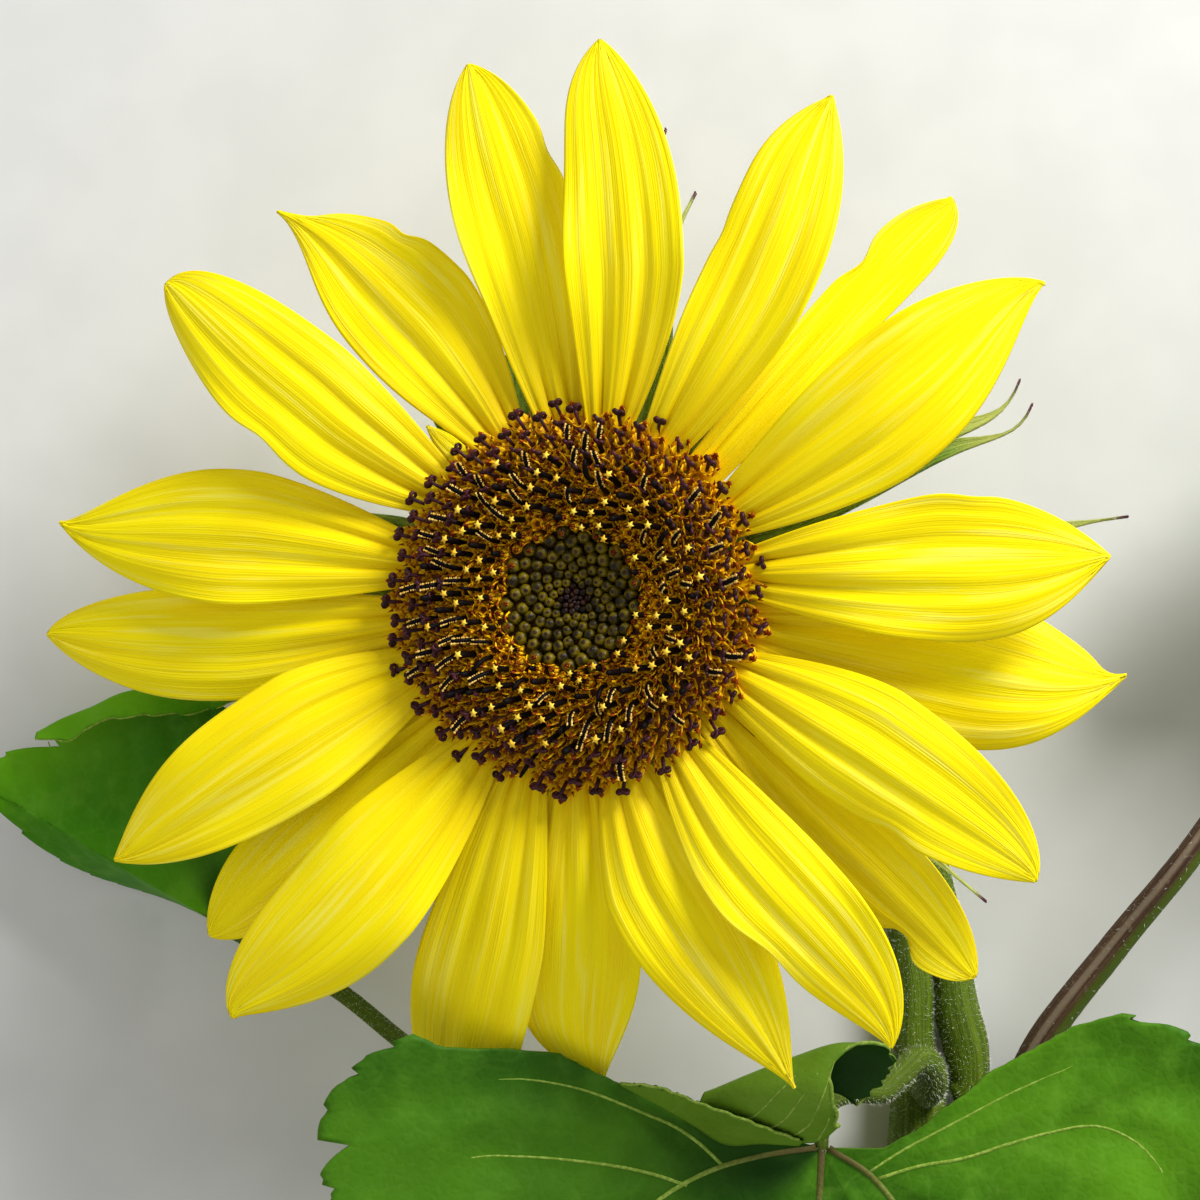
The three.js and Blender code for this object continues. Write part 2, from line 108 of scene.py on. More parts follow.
# One row for each ray, clockwise from the top: azimuth of its claw and of its tip, reach of the tip from the
# axis, tier and extra droop. Then its left and its right margin, seen along the ray: how far it swells from
# the line between claw and tip, where along the ray, and how sharply it closes to the tip.
RAYS = [
    [79, 87.5, 78.2, 2, 0, [4.8, 0.78, 0.75], [12.6, 0.44, 0.85]],
    [61, 62.3, 78.4, 2, 0, [5.6, 0.74, 1], [10.7, 0.5, 0.9]],
    [44.5, 47.5, 75.8, 0, 0, [4, 0.78, 1.1], [5.4, 0.8, 0.5]],
    [28, 33.2, 78.7, 2, 0, [8.1, 0.58, 0.75], [11, 0.48, 1.45]],
    [9.5, 4.5, 75, 2, 0, [9.4, 0.57, 0.95], [10.9, 0.62, 1.05]],
    [-9, -7.8, 76.4, 0, 0, [9, 0.5, 1.5], [13.1, 0.6, 1]],
    [-24, -30.8, 75, 2, 0, [11.7, 0.46, 0.6], [6.4, 0.42, 0.85]],
    [-38, -43.5, 75.6, 0, 0, [7.4, 0.6, 0.75], [7, 0.55, 0.5]],
    [-55, -54.1, 75.9, 2, 0, [9.6, 0.64, 0.7], [7.9, 0.36, 1.3]],
    [-75, -66, 74.2, 1, 0, [7.5, 0.5, 1.3], [11.1, 0.36, 1.35]],
    [-91, -90.3, 68.8, 0, -11, [8, 0.45, 1.3], [10.5, 0.72, 0.7]],
    [-109, -107, 80, 1, -17, [9.2, 0.5, 0.6], [8.8, 0.62, 0.5]],
    [-123.5, -130.3, 78, 2, 0, [11.3, 0.5, 1.15], [7.9, 0.55, 0.5]],
    [-139, -139.5, 74.5, 0, 0, [7.5, 0.5, 0.65], [7.5, 0.5, 0.65]],
    [-157, -151.4, 77.8, 2, 0, [8.5, 0.42, 0.8], [10, 0.38, 0.9]],
    [-173, -176.4, 82, 0, 0, [10.5, 0.5, 0.85], [6, 0.6, 0.6]],
    [167, 171.8, 78.9, 1, 0, [8.8, 0.55, 0.88], [10.4, 0.47, 1.45]],
    [142, 143.5, 75.5, 2, 0, [9.6, 0.38, 0.7], [8.6, 0.5, 0.45]],
    [115, 129.8, 72.8, 0, 0, [5.5, 0.48, 2.2], [13.6, 0.45, 1.15]],
    [94.5, 102.5, 77.4, 1, 0, [6.7, 0.65, 0.8], [9.9, 0.55, 0.7]],
]
STUNTED_RAY = [129, 132, 33, 1, 2, [1.7, 0.4, 0.9], [1.7, 0.4, 0.9]]
# Nicks of the margins: ray, right margin or not, place along the ray, depth and spread.
NICKS = [
    (3, False, 0.73, 1.2, 0.05), (7, True, 0.62, 0.8, 0.06), (8, True, 0.79, 4, 0.05),
    (9, True, 0.62, 1.2, 0.09), (18, False, 0.52, 0.9, 0.07), (19, True, 0.66, 0.9, 0.04),
    (19, True, 0.93, 1.2, 0.05), (20, True, 0.72, 0.7, 0.05), (2, False, 0.58, 0.3, 0.04),
    (6, False, 0.95, 0.9, 0.04), (5, False, 0.66, 0.4, 0.05),
]
# Rays whose margins roll up more than the rest.
ROLLED = {3: 0.3, 8: 0.16, 19: 0.1}

# Bracts in two whorls. The claw is a share of the width, the belly a share of the way to the tip, and the
# second whorl starts BRACT_STEP further in.
BRACT_GRID = [34, 13]
BRACT_THICKNESS = 0.7
BRACT_EDGE = 0.14
BRACT_CLAW = 0.86
BRACT_BELLY = 0.16
BRACT_STEP = 2.2
BRACT_WIDTH = 7.6
BRACT_BASE_RADIUS = 25.1
BRACT_BASE_HEIGHT = [-1.9, -4.4]
BRACT_TIP_HEIGHT = [-10, -14]
# Bracts that start between these azimuths sag more.
SAGGING_BRACTS = [-111, -87]
BRACT_SAG = -5
# Azimuth of base and tip, reach, sideways bow, how late along the bract the bow comes, and sharpness of the
# point.
BRACTS = [
    [90, 81.5, 67.5, 0, 1.6, 2.4], [72, 77, 59.5, 1.6, 1.6, 2.6], [53, 50, 56, 0, 1.6, 2],
    [24.5, 27.2, 67.4, -2.7, 5, 1.8], [22.5, 23.6, 68, -2.2, 6, 2.5], [0, 8.8, 76, 0.4, 1.6, 2],
    [-17, -14, 57, 0, 1.6, 2], [-36, -37.5, 69.5, 1, 1.6, 2.6], [-54, -50, 55, 0.8, 1.6, 2],
    [-71, -66, 66, -1, 1.6, 2.6], [-90, -93, 50, 0.8, 1.6, 2], [-108, -110, 50, -0.6, 1.6, 2],
    [-126, -131, 54, 1, 1.6, 2], [-144, -146, 56, -0.8, 1.6, 2], [-162, -158, 57, 0.6, 1.6, 2],
    [180, 178, 58, -1.2, 1.6, 2], [162, 166, 57, 1, 1.6, 2], [144, 142, 56, -0.6, 1.6, 2],
    [126, 123, 54, 0.8, 1.6, 2], [108, 104, 56, -1, 1.6, 2],
]

# Stems and leaf stalks: points of the centre line from the point of the ground under the bloom, with radii.
# Ribs and wobble are shares of the radius.
LIMB_RIB_DEPTH = 0.02
LIMB_WOBBLE = 0.03
STEM = [
    [46, -150, 4.4, 4.4], [48, -120, 4.4, 4.3], [49.5, -95, 4.5, 4.3], [50.6, -78, 5.0, 4.5],
    [49.8, -66, 5.6, 3.0], [49.8, -57, 5.2, 2.7], [46.6, -42, 3.8, 2.75], [37, -22, 2.9, 2.9],
    [25.5, -8.5, 4.6, 3.2], [14, -2, 12, 3.7], [7.4, -0.2, 22, 4.3], [4.15, 0, 33.2, 4.8],
]
SIDE_STEM = [
    [55.6, -74.4, 5.4, 2.3], [57.7, -73, 5.3, 2.8], [57.7, -67.5, 4.8, 3.4], [56.4, -62, 4.6, 3.4],
    [55.8, -57, 4.2, 3], [54, -48, 3.6, 3], [50, -30, 3.2, 2.9], [45.5, -4, 3.1, 2.9],
]
LOW_LEAF_STALK = [
    [51.2, -73.2, 10.2, 2.3], [51.8, -72.2, 12.4, 2.3], [51.5, -69, 15.4, 2.3], [49.4, -67.4, 18.8, 2],
    [46.6, -69.4, 22, 1.8], [43.8, -71.6, 24.6, 1.6], [40.2, -71.4, 27, 1.5], [36.6, -72.2, 29, 1.4],
    [34.9, -74.8, 30, 1.4], [34.7, -79.4, 32, 0.9],
]
RIGHT_LEAF_STALK = [
    [54.6, -97.3, 4.9, 2.6], [56.4, -96.8, 5.1, 2.6], [61, -87, 7.4, 2.4], [64, -76, 9.8, 2.4],
    [67.6, -66.4, 12.5, 2.3], [78.6, -50.6, 18, 2.1], [89, -36.6, 24, 1.95], [101, -18, 28, 1.8],
    [113.4, 0.9, 27.4, 1.6],
]
LEFT_LEAF_STALK = [
    [42.8, -113.5, 5, 2.2], [20, -99, 5, 1.6], [-10, -78, 6, 1.35], [-26.3, -66, 9, 1.3],
    [-36.5, -57.6, 11.4, 1.3], [-53.5, -47.8, 13.5, 1.2],
]

# Leaves: base point, heading of the midrib, length, then for the two halves (left of the heading first) the
# half width, slope, how much the slope opens towards the tip, angle from the heading back to which the lobe
# reaches, its reach there as a share of the half width, and how its rear edge runs out from the stalk: shares
# of the reach and of that angle. Last come bulge, drop of the tip, thickness and the teeth of the margin: how
# many on each half, and single large ones as half, angle from the heading, depth and spread in degrees.
LEAVES = {
    "leaf_low": {
        "base": [34.7, -78.8, 32], "heading": -93, "length": 140, "halves": [66, 73], "slopes": [6, 10],
        "twists": [0, 0], "backs": [119, 102.5], "lobes": [0.69, 0.867],
        "edges": [[[0, 0.78], [0.13, 0.78], [0.17, 0.84], [0.32, 0.935], [0.55, 0.992], [0.9, 1.005],
                   [1, 0.99]],
                  [[0, 1], [0.4, 1.006], [0.53, 1.03], [0.76, 1.05], [0.82, 1.03], [0.9, 1.005], [1, 1.01]]],
        "bulges": [0.22, 0.22], "drop": 31.1, "thickness": 0.7, "teeth": 30,
        "large_teeth": [[0, 116.2, 2.7, 3.2], [0, 110.2, 1.7, 3], [1, 101.5, 1.8, 2], [1, 97.4, 2.2, 2.4],
                        [1, 92.8, 1.2, 1.6], [1, 89.1, 5, 4.5], [1, 84, 2.4, 4], [1, 79, 2.6, 4]],
    },
    "leaf_right": {
        "base": [115, 2.8, 29.4], "heading": 42, "length": 87.7, "halves": [30, 37], "slopes": [6, -8],
        "twists": [0, 0], "backs": [124, 126], "lobes": [0.62, 0.66], "edges": [[[0, 0.9], [1, 1]]] * 2,
        "bulges": [0.22, 0.22], "drop": 28.6, "thickness": 0.55, "teeth": 22, "large_teeth": [],
    },
    "leaf_left": {
        "base": [-54.5, -47, 14.5], "heading": 150, "length": 43, "halves": [9.2, 29], "slopes": [-84, 6],
        "twists": [84, 0], "backs": [112, 116], "lobes": [0.66, 0.8], "edges": [[[0, 0.9], [1, 1]]] * 2,
        "bulges": [0.75, 0.38], "drop": 3, "thickness": 0.55, "teeth": 14, "large_teeth": [[1, 19, 3.6, 13]],
    },
}
# Grid of a blade, the share of its reach where it starts, and the powers by which its columns spread from the
# midrib and by which it droops. Jags are the small teeth of its rear edges.
LEAF_GRID = [46, 481]
LEAF_ROOT = 0.004
LEAF_FAN = 1.35
LEAF_DROOP = 1.6
JAG_ANGLE = 0.006
JAGS = 16
# Veins, quilting and waves of a leaf are given for one of this length.
VEINED_LENGTH = 140
VEIN_STEPS = 40
VEIN_SIDES = 6
MIDRIB_RADII = [0.7, 0.16]
SIDE_VEIN_RADII = [0.36, 0.1]
RIM_RADIUS = 0.13
RIM_STEPS = 1100
QUILT_HEIGHT = 1.1
QUILT_REACH = 4.2
WAVE_HEIGHT = 1.1
WAVE_LENGTH = 7.5
# Small teeth are this share of the length deep, and coarse ones are several times as deep.
TOOTH_DEPTH = 0.0045
COARSE_TEETH = 11
COARSE_DEPTH = 5
# On a half with large teeth of its own, coarse ones end at this angle from the heading.
COARSE_UP_TO = 70
# Nothing of a leaf lies lower than GROUND_GAP, and what would is pressed up from GROUND_MARGIN on.
GROUND_MARGIN = 1.0
GROUND_GAP = 0.05

# Hairs: none stand lower than the clearance. Each kind has a number on a square millimetre and a length.
HAIR_CLEARANCE = 1.1
HAIR_THICKNESS = 0.022
HAIR_LEAN = 0.7
BRACT_HAIRS = [2.4, 0.5]
CUP_HAIRS = [0.9, 0.7]
STEM_HAIRS = [3.4, 0.62]
STALK_HAIRS = [0.4, 0.62]

# Main veins of the low leaf beside its midrib, as (along, across) on the blade with the radius at each end.
LOW_LEAF_VEINS = [
    ([[0, -1], [1, -7], [3, -14.4], [7.5, -22.6], [19, -33], [36, -43], [56, -48]], 0.55, 0.16),
    ([[3, -14.4], [-1.5, -20], [-4.7, -27.8], [-7.4, -36.1], [-8.4, -45.9], [-6.9, -52.3], [-4, -57]],
     0.38, 0.16),
    ([[6, -19.5], [4.4, -25], [3.2, -33], [2.6, -45], [3.5, -52.6], [7.8, -57.2], [10, -59]], 0.38, 0.16),
    ([[0, 1], [1.6, 3.6], [4, 8], [8, 11.5], [22, 20], [42, 31], [60, 38]], 0.55, 0.16),
    ([[4, 8], [2, 13], [0.3, 20], [-4.2, 32], [-5.5, 41.2], [-0.9, 47.9], [4.5, 50.6], [20, 55]], 0.38, 0.18),
    ([[3, 7], [0.4, 10.4], [-5.5, 19.9], [-9.8, 27], [-13.4, 34.2], [-16, 41.2], [-12.3, 47.2], [-11, 53]],
     0.3, 0.16),
    ([[-4.2, 32], [-8.6, 32.6], [-13.9, 36.7]], 0.2, 0.12),
    ([[-5.5, 41.4], [-9.5, 43.5], [-12.2, 46.8]], 0.2, 0.12),
    ([[22, 20], [24, 32], [24, 44], [28, 56]], 0.34, 0.12),
    ([[19, -33], [17, -44], [18, -56], [22, -66]], 0.34, 0.12),
]

# The turned up lobe of the low leaf: rows of points from its crease over its top fold to its free edge, left
# end first. Its last row is the open end.
FLAP_ROWS = [
    [[16.5, -73, 38], [17.2, -71.2, 38.8], [17.8, -70.3, 38.4], [18.2, -70.8, 37], [18, -72, 36.2]],
    [[22.5, -75.6, 37], [22.6, -72, 41.5], [23, -69, 43], [24, -67.4, 42], [24.8, -67.8, 40],
     [25, -69.2, 38], [24.6, -71, 36.5]],
    [[29, -77, 36.6], [28.6, -72.5, 43], [28.8, -68, 45.6], [30, -64.9, 44.6], [31.2, -65, 42],
     [31.6, -67, 39], [31, -70, 36.6]],
    [[34, -77.2, 36.8], [33.8, -71.5, 44.6], [33.6, -66.5, 47.2], [35, -63.3, 46], [37.4, -63, 43],
     [38, -66, 39.6], [37, -70.5, 36.4]],
    [[36.8, -75, 37.6], [36.2, -71, 44], [35.3, -67.5, 46.6], [36.2, -63.9, 46.4], [41.4, -62.4, 44.2],
     [45, -65, 40.6], [43.6, -69, 37.6], [39.5, -72.3, 36]],
]
# Its veins, as shares of the way from left to right and from the crease to the free edge.
FLAP_VEINS = [
    [[0.2, 0.04], [0.36, 0.22], [0.5, 0.42], [0.6, 0.5]],
    [[0.42, 0.03], [0.56, 0.2], [0.68, 0.38], [0.76, 0.48]],
    [[0.64, 0.02], [0.75, 0.18], [0.85, 0.34], [0.9, 0.46]],
    [[0.84, 0.02], [0.9, 0.14], [0.95, 0.26]],
]
FLAP_GRID = [70, 60]
FLAP_TEETH = 11
FLAP_VEIN_LIFT = 0.3
FOLD_THICKNESS = 0.5
# The narrow folded edge in front of it: its crease and its free margin.
HEM_ROWS = [
    [[5.6, -69, 38.2], [5.8, -68.8, 38.4]], [[9.9, -71.3, 37.6], [10.8, -69.1, 39.8]],
    [[16.2, -75, 36.4], [17.3, -71.4, 41.4]], [[20.8, -77.8, 35.4], [22.6, -73.2, 42.4]],
    [[26, -77.6, 36], [27.4, -75.2, 41]], [[31.2, -77.8, 36.6], [31.8, -77, 38.4]],
]
HEM_GRID = [80, 10]
HEM_TEETH = 18
# The folded upper edge of the left leaf.
LEFT_HEM_ROWS = [
    [[-80, -19.6, 17], [-80.2, -20.4, 17.6]], [[-76.4, -17.6, 17.6], [-74.8, -20.6, 19.4]],
    [[-71.8, -15.8, 18.2], [-70.6, -18, 20.4]], [[-67, -13.6, 18.8], [-63, -17, 21]],
    [[-58, -12.6, 19], [-55.6, -16.6, 21]], [[-50, -12, 18.8], [-50, -14.6, 20.4]],
]
LEFT_HEM_GRID = [60, 10]
LEFT_HEM_TEETH = 7
# How deep the teeth of the folded edges are cut, and those of the open end of the turned up lobe.
FOLD_TOOTH_DEPTH = 0.55
MOUTH_TEETH = 14
MOUTH_TOOTH_DEPTH = 1.1

# Camera straight above, floor, and lights as place, size and energy, in metres.
CAMERA_LENS = 139.3
CAMERA_SENSOR = 36
CAMERA_HEIGHT = 700
CAMERA_SHIFT = 2.8
FLOOR_HALF = 3.0
LIGHT_AIM = (0, 0, 0.03)
LIGHTS = {
    "key": [(0.42, 0.62, 0.46), 0.35, 10],
    "fill": [(-0.7, 0.1, 0.6), 0.9, 0.9],
    "front": [(0.1, -0.8, 0.5), 0.8, 0.9],
}
WORLD_STRENGTH = 0.45


class Wire:
    """A socket of a node tree. Sums on it add Math nodes."""

    def __init__(self, graph, socket):
        self.graph = graph
        self.socket = socket

    def sum(self, operation, *others):
        return self.graph.node("ShaderNodeMath", dict(enumerate((self, *others))), operation=operation)

    def __add__(self, other):
        return self.sum("ADD", other)

    def __mul__(self, other):
        return self.sum("MULTIPLY", other)

    def __sub__(self, other):
        return self.sum("SUBTRACT", other)

    def __rsub__(self, other):
        return self.graph.node("ShaderNodeMath", {0: other, 1: self}, operation="SUBTRACT")

    def __truediv__(self, other):
        return self.sum("DIVIDE", other)

    def __pow__(self, other):
        return self.sum("POWER", other)

    __radd__ = __add__

    def at_least(self, other):
        return self.sum("MAXIMUM", other)

    def at_most(self, other):
        return self.sum("MINIMUM", other)

    def step(self, low, high):
        """Rises smoothly from 0 to 1 as the wire goes from low to high."""
        inputs = {"Value": self, "From Min": low, "From Max": high}
        return self.graph.node("ShaderNodeMapRange", inputs, interpolation_type="SMOOTHSTEP")


class Graph:
    """Adds nodes to one tree of a material or of geometry."""

    def __init__(self, tree):
        self.tree = tree

    def node(self, kind, inputs=None, output=0, **settings):
        """A new node: wires or values go to its inputs, and a wire of one of its outputs comes back."""
        node = self.tree.nodes.new(kind)
        for key, value in settings.items():
            setattr(node, key, value)
        for key, value in (inputs or {}).items():
            if isinstance(value, Wire):
                self.tree.links.new(value.socket, node.inputs[key])
            else:
                node.inputs[key].default_value = value
        return Wire(self, node.outputs[output])

    def mix(self, share, first, second):
        """One colour into another, each a wire or as it looks on a screen."""
        first, second = [colour if isinstance(colour, Wire) else rgb(*colour) for colour in (first, second)]
        return self.node("ShaderNodeMix", {0: share, 6: first, 7: second}, 2, data_type="RGBA")

    def vector(self, x, y, z):
        return self.node("ShaderNodeCombineXYZ", {0: x, 1: y, 2: z})

    def noise(self, place, scale, detail):
        return self.node("ShaderNodeTexNoise", {"Vector": place, "Scale": scale, "Detail": detail})

    def compare(self, operation, first, second):
        return self.node("FunctionNodeCompare", {0: first, 1: second}, operation=operation)

    def attribute(self, name):
        """The three numbers of a point attribute."""
        vector = self.node("ShaderNodeAttribute", {}, "Vector", attribute_name=name)
        first = self.node("ShaderNodeSeparateXYZ", {0: vector})
        return [Wire(self, socket) for socket in first.socket.node.outputs]


def rgb(red, green, blue):
    """A colour given as it looks on a screen, 0 to 255."""
    shares = [value / 255 for value in (red, green, blue)]
    linear = [share / 12.92 if share <= 0.04045 else ((share + 0.055) / 1.055) ** 2.4 for share in shares]
    return (*linear, 1)


def new_finish(name):
    material = bpy.data.materials.new(name)
    material.use_nodes = True
    return material, Graph(material.node_tree)


def close_finish(material, graph, colour, roughness, shine=0.5, height=None, depth=0.0):
    """Feeds the shader, with a bump from height, depth metres deep."""
    shader = graph.tree.nodes["Principled BSDF"]
    graph.tree.links.new(colour.socket, shader.inputs["Base Color"])
    shader.inputs["Roughness"].default_value = roughness
    shader.inputs["Specular IOR Level"].default_value = shine
    if height is not None:
        bump = graph.node("ShaderNodeBump", {"Height": height, "Distance": depth, "Strength": 1.0})
        graph.tree.links.new(bump.socket, shader.inputs["Normal"])
    return material


def object_place(graph):
    return graph.node("ShaderNodeTexCoord", {}, "Object")


# Materials

GRAIN_DEPTH = 0.0001


def ray_finish():
    """Lemon yellow with pale streaks of painted sheen along the ray, deeper and greener towards the claw."""
    material, graph = new_finish("ray_yellow")
    across, along, seed = graph.attribute("blade")
    streaks = graph.noise(graph.vector(across * 5.5, along * 1.6, seed * 3.7), 1.6, 3)
    threads = graph.noise(graph.vector(across * 26, along * 1.3, seed * 5.1), 1.5, 2)
    cloud = graph.noise(graph.vector(across * 1.2, along * 2.5, seed * 7.3), 1.2, 1)
    # Painted sheen highlight: pale streaks towards the tip, with fine pale threads.
    pale = streaks.step(0.5, 0.72) * along.step(0.1, 0.6) * 0.55 + threads.step(0.55, 0.8) * 0.3
    deep = (1 - along.step(0.0, 0.42)) * 0.75 + threads.step(0.5, 0.25) * 0.25
    colour = graph.mix(cloud.step(0.35, 0.65), (250, 226, 0), (255, 236, 0))
    colour = graph.mix(deep, colour, (228, 192, 0))
    colour = graph.mix(pale, colour, (255, 246, 96))
    height = threads + streaks * 0.5
    return close_finish(material, graph, colour, 0.55, 0.1, height, 0.00013)


def bract_finish():
    """Green, lighter along the middle, with a purple point."""
    material, graph = new_finish("bract_green")
    across, along, seed = graph.attribute("blade")
    mottle = graph.noise(graph.vector(across * 6, along * 9, seed * 2.3), 1.4, 3)
    rib = 1 - (across * across).step(0.0, 0.06)
    colour = graph.mix(mottle.step(0.3, 0.7), (84, 116, 32), (128, 158, 62))
    colour = graph.mix(rib * 0.5, colour, (164, 184, 104))
    colour = graph.mix(along.step(0.66, 0.86) * 0.75, colour, (186, 190, 96))
    colour = graph.mix(along.step(0.94, 0.99), colour, (78, 34, 50))
    return close_finish(material, graph, colour, 0.6, 0.2, mottle, 0.0002)


def leaf_finish(name, dark, light):
    """Deep green above with a fine net of veins, duller below, and painted shade on top to the rear left."""
    material, graph = new_finish(name)
    place = object_place(graph)
    cells, coarse = [
        graph.node("ShaderNodeTexVoronoi", {"Vector": place, "Scale": scale}, feature="DISTANCE_TO_EDGE")
        for scale in (640.0, 190.0)
    ]
    cloud = graph.noise(place, 24.0, 4)
    blotch = graph.noise(place, 240.0, 3)
    grain = graph.noise(place, 1100.0, 2)
    across, out, side = graph.attribute("blade")
    net = (1 - cells.step(0.0, 0.1)) * 0.05 + (1 - coarse.step(0.0, 0.07)) * 0.06
    top = graph.mix(cloud.step(0.32, 0.68), dark, light)
    top = graph.mix(blotch.step(0.45, 0.75) * 0.3, top, (104, 160, 40))
    top = graph.mix(net, top, (122, 164, 60))
    # Painted shade over the left half of the top.
    top = graph.mix((0 - across).step(0.1, 0.8) * 0.42, top, (34, 76, 10))
    # Painted shadow by the stalk, under the overhanging folded edge, and in full inside the folds.
    top = graph.mix((1 - out.step(0.06, 0.46)) * (0 - across).step(0.3, 0.7) * 0.84, top, (4, 42, 0))
    under = graph.mix(cloud.step(0.3, 0.7), (74, 108, 16), (108, 146, 34))
    under = graph.mix(net, under, (140, 168, 76))
    colour = graph.mix(side.step(-0.2, 0.2), under, top)
    height = cells.step(0.0, 0.3) * 0.2 + coarse.step(0.0, 0.5) * 0.25 + grain * 0.35
    return close_finish(material, graph, colour, 0.55, 0.1, height, 0.00014)


def vein_finish():
    """Pale green veins, browner where they leave the stalk and greener at their ends."""
    material, graph = new_finish("vein_pale")
    share, along, seed = graph.attribute("blade")
    speckle = graph.noise(object_place(graph), 1500.0, 2)
    colour = graph.mix(speckle.step(0.4, 0.65), (116, 146, 44), (146, 172, 72))
    colour = graph.mix(share.step(0.7, 1.0) * 0.5, colour, (96, 146, 44))
    dark = (1 - along.step(1.0, 24.0)) * seed
    colour = graph.mix(dark * 0.92, colour, (82, 66, 34))
    return close_finish(material, graph, colour, 0.65, 0.2, speckle, 0.00012)


def bump_of(wire, middle, width):
    """1 where the wire is at middle, falling to 0 a width away."""
    away = (wire - middle) / width
    return 1 - (away * away).step(0.0, 1.0)


def stem_finish(name, dark, light, stripe, stripe_share, shaded_side=None):
    """Skin with lengthwise streaks, speckled at the foot of its hairs. One side may have its own colour."""
    material, graph = new_finish(name)
    turn, along, seed = graph.attribute("blade")
    streaks = graph.noise(graph.vector(turn * 30, along * 0.05, seed), 1.0, 3)
    fine = graph.noise(graph.vector(turn * 90, along * 0.25, seed), 1.0, 2)
    speckle = graph.noise(object_place(graph), 1100.0, 1)
    colour = graph.mix(streaks.step(0.35, 0.65), dark, light)
    colour = graph.mix(fine.step(0.5, 0.75) * stripe_share, colour, stripe)
    colour = graph.mix(speckle.step(0.6, 0.72) * 0.25, colour, stripe)
    if shaded_side:
        colour = graph.mix(bump_of(turn, 0.4, 0.1) * 0.7, colour, stripe)
        colour = graph.mix(turn.step(0.56, 0.72), colour, shaded_side)
    return close_finish(material, graph, colour, 0.62, 0.2, fine + speckle * 0.6, 0.00012)


def grainy_finish(name, low, high, scale, roughness, shine=0.5):
    """Two close shades in a fine grain, for small parts."""
    material, graph = new_finish(name)
    grain = graph.noise(object_place(graph), scale, 2)
    colour = graph.mix(grain.step(0.35, 0.65), low, high)
    return close_finish(material, graph, colour, roughness, shine, grain, GRAIN_DEPTH)


def floor_finish():
    material, graph = new_finish("pale_floor")
    grain = graph.noise(object_place(graph), 60.0, 2)
    colour = graph.mix(grain.step(0.3, 0.7), (206, 206, 202), (211, 211, 207))
    return close_finish(material, graph, colour, 0.85)


# Meshes

LINE_SAMPLES = 24
GROUND = Matrix.Translation(Vector((BLOOM_X, BLOOM_Y, 0)) * MM)
HEAD = Matrix.Translation(Vector((BLOOM_X, BLOOM_Y, BLOOM_HEIGHT)) * MM)
HEAD = HEAD @ Matrix.Rotation(-math.radians(BLOOM_LEAN), 4, "Y")


def add_object(name, mesh, finish=None):
    thing = bpy.data.objects.new(name, mesh)
    bpy.context.scene.collection.objects.link(thing)
    if finish:
        mesh.materials.append(finish)
    return thing


def make_mesh(name, points, faces, blade=None):
    """A smooth mesh from points in millimetres. Materials read its attribute blade: across, along and a seed
    on rays and bracts, across, out and the side on leaves, turn, length and a seed on limbs, and on veins the
    share of their length, the length, and 1 where they turn brown at the stalk."""
    mesh = bpy.data.meshes.new(name)
    mesh.from_pydata((np.asarray(points) * MM).tolist(), [], faces)
    if blade is not None:
        layer = mesh.attributes.new("blade", "FLOAT_VECTOR", "POINT")
        layer.data.foreach_set("vector", np.asarray(blade, np.float32).ravel())
    mesh.polygons.foreach_set("use_smooth", [True] * len(mesh.polygons))
    mesh.update()
    return mesh


def ring_points(radius, height, sides):
    angles = np.arange(sides) * TAU / sides
    return np.stack([radius * np.cos(angles), radius * np.sin(angles), np.full(sides, height)], -1)


def band_faces(rings, sides):
    """The faces between rings of points, ring by ring."""
    faces = []
    for first in range(0, (rings - 1) * sides, sides):
        for side in range(sides):
            following = (side + 1) % sides
            faces.append([first + side, first + following, first + sides + following, first + sides + side])
    return faces


def join_shapes(parts):
    points, faces, start = [], [], 0
    for some, more in parts:
        points.append(some)
        faces += [[start + index for index in face] for face in more]
        start += len(some)
    return np.vstack(points), faces


def hand_over(thing, nodes=()):
    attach(thing, "root")
    if nodes:
        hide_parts(*nodes)
    return thing


def make_piece(name, points, faces, blade, place, finish, slot, nodes=()):
    mesh = make_mesh(name, points, faces, blade)
    mesh.transform(place)
    return hand_over(add_object(name, mesh, finish), nodes)


def sheet(middle, thickness):
    """Points and faces of a thin closed sheet round a grid of middle points. The top faces are to the left of
    the way from rows to columns."""
    rows, columns = middle.shape[:2]
    along = np.gradient(middle, axis=0)
    across = np.gradient(middle, axis=1)
    normal = np.cross(along, across)
    normal /= np.maximum(np.linalg.norm(normal, axis=2, keepdims=True), 1e-9)
    half = normal * np.broadcast_to(thickness, (rows, columns))[..., None] / 2
    points = np.concatenate([(middle + half).reshape(-1, 3), (middle - half).reshape(-1, 3)])
    count = rows * columns
    index = np.arange(count).reshape(rows, columns)
    a, b, c, d = index[:-1, :-1], index[1:, :-1], index[1:, 1:], index[:-1, 1:]
    top = np.stack([a, b, c, d], -1).reshape(-1, 4)
    bottom = np.stack([a, d, c, b], -1).reshape(-1, 4) + count

    def rim(line):
        return np.stack([line[:-1], line[1:], line[1:] + count, line[:-1] + count], -1)
    edges = [rim(index[0]), rim(index[-1][::-1]), rim(index[::-1, 0]), rim(index[:, -1])]
    faces = np.concatenate([top, bottom, *edges])
    return points, faces.tolist()


def grid(rows, columns):
    """Grids of t from 0 to 1 down the rows and s from -1 to 1 across."""
    return np.meshgrid(np.linspace(0, 1, rows), np.linspace(-1, 1, columns), indexing="ij")


def twice(values):
    """The same grid of attributes for the top and the bottom of a sheet."""
    flat = values.reshape(-1, values.shape[-1])
    return np.concatenate([flat, flat])


def smooth(x, low, high):
    u = np.clip((x - low) / (high - low), 0, 1)
    return u * u * (3 - 2 * u)


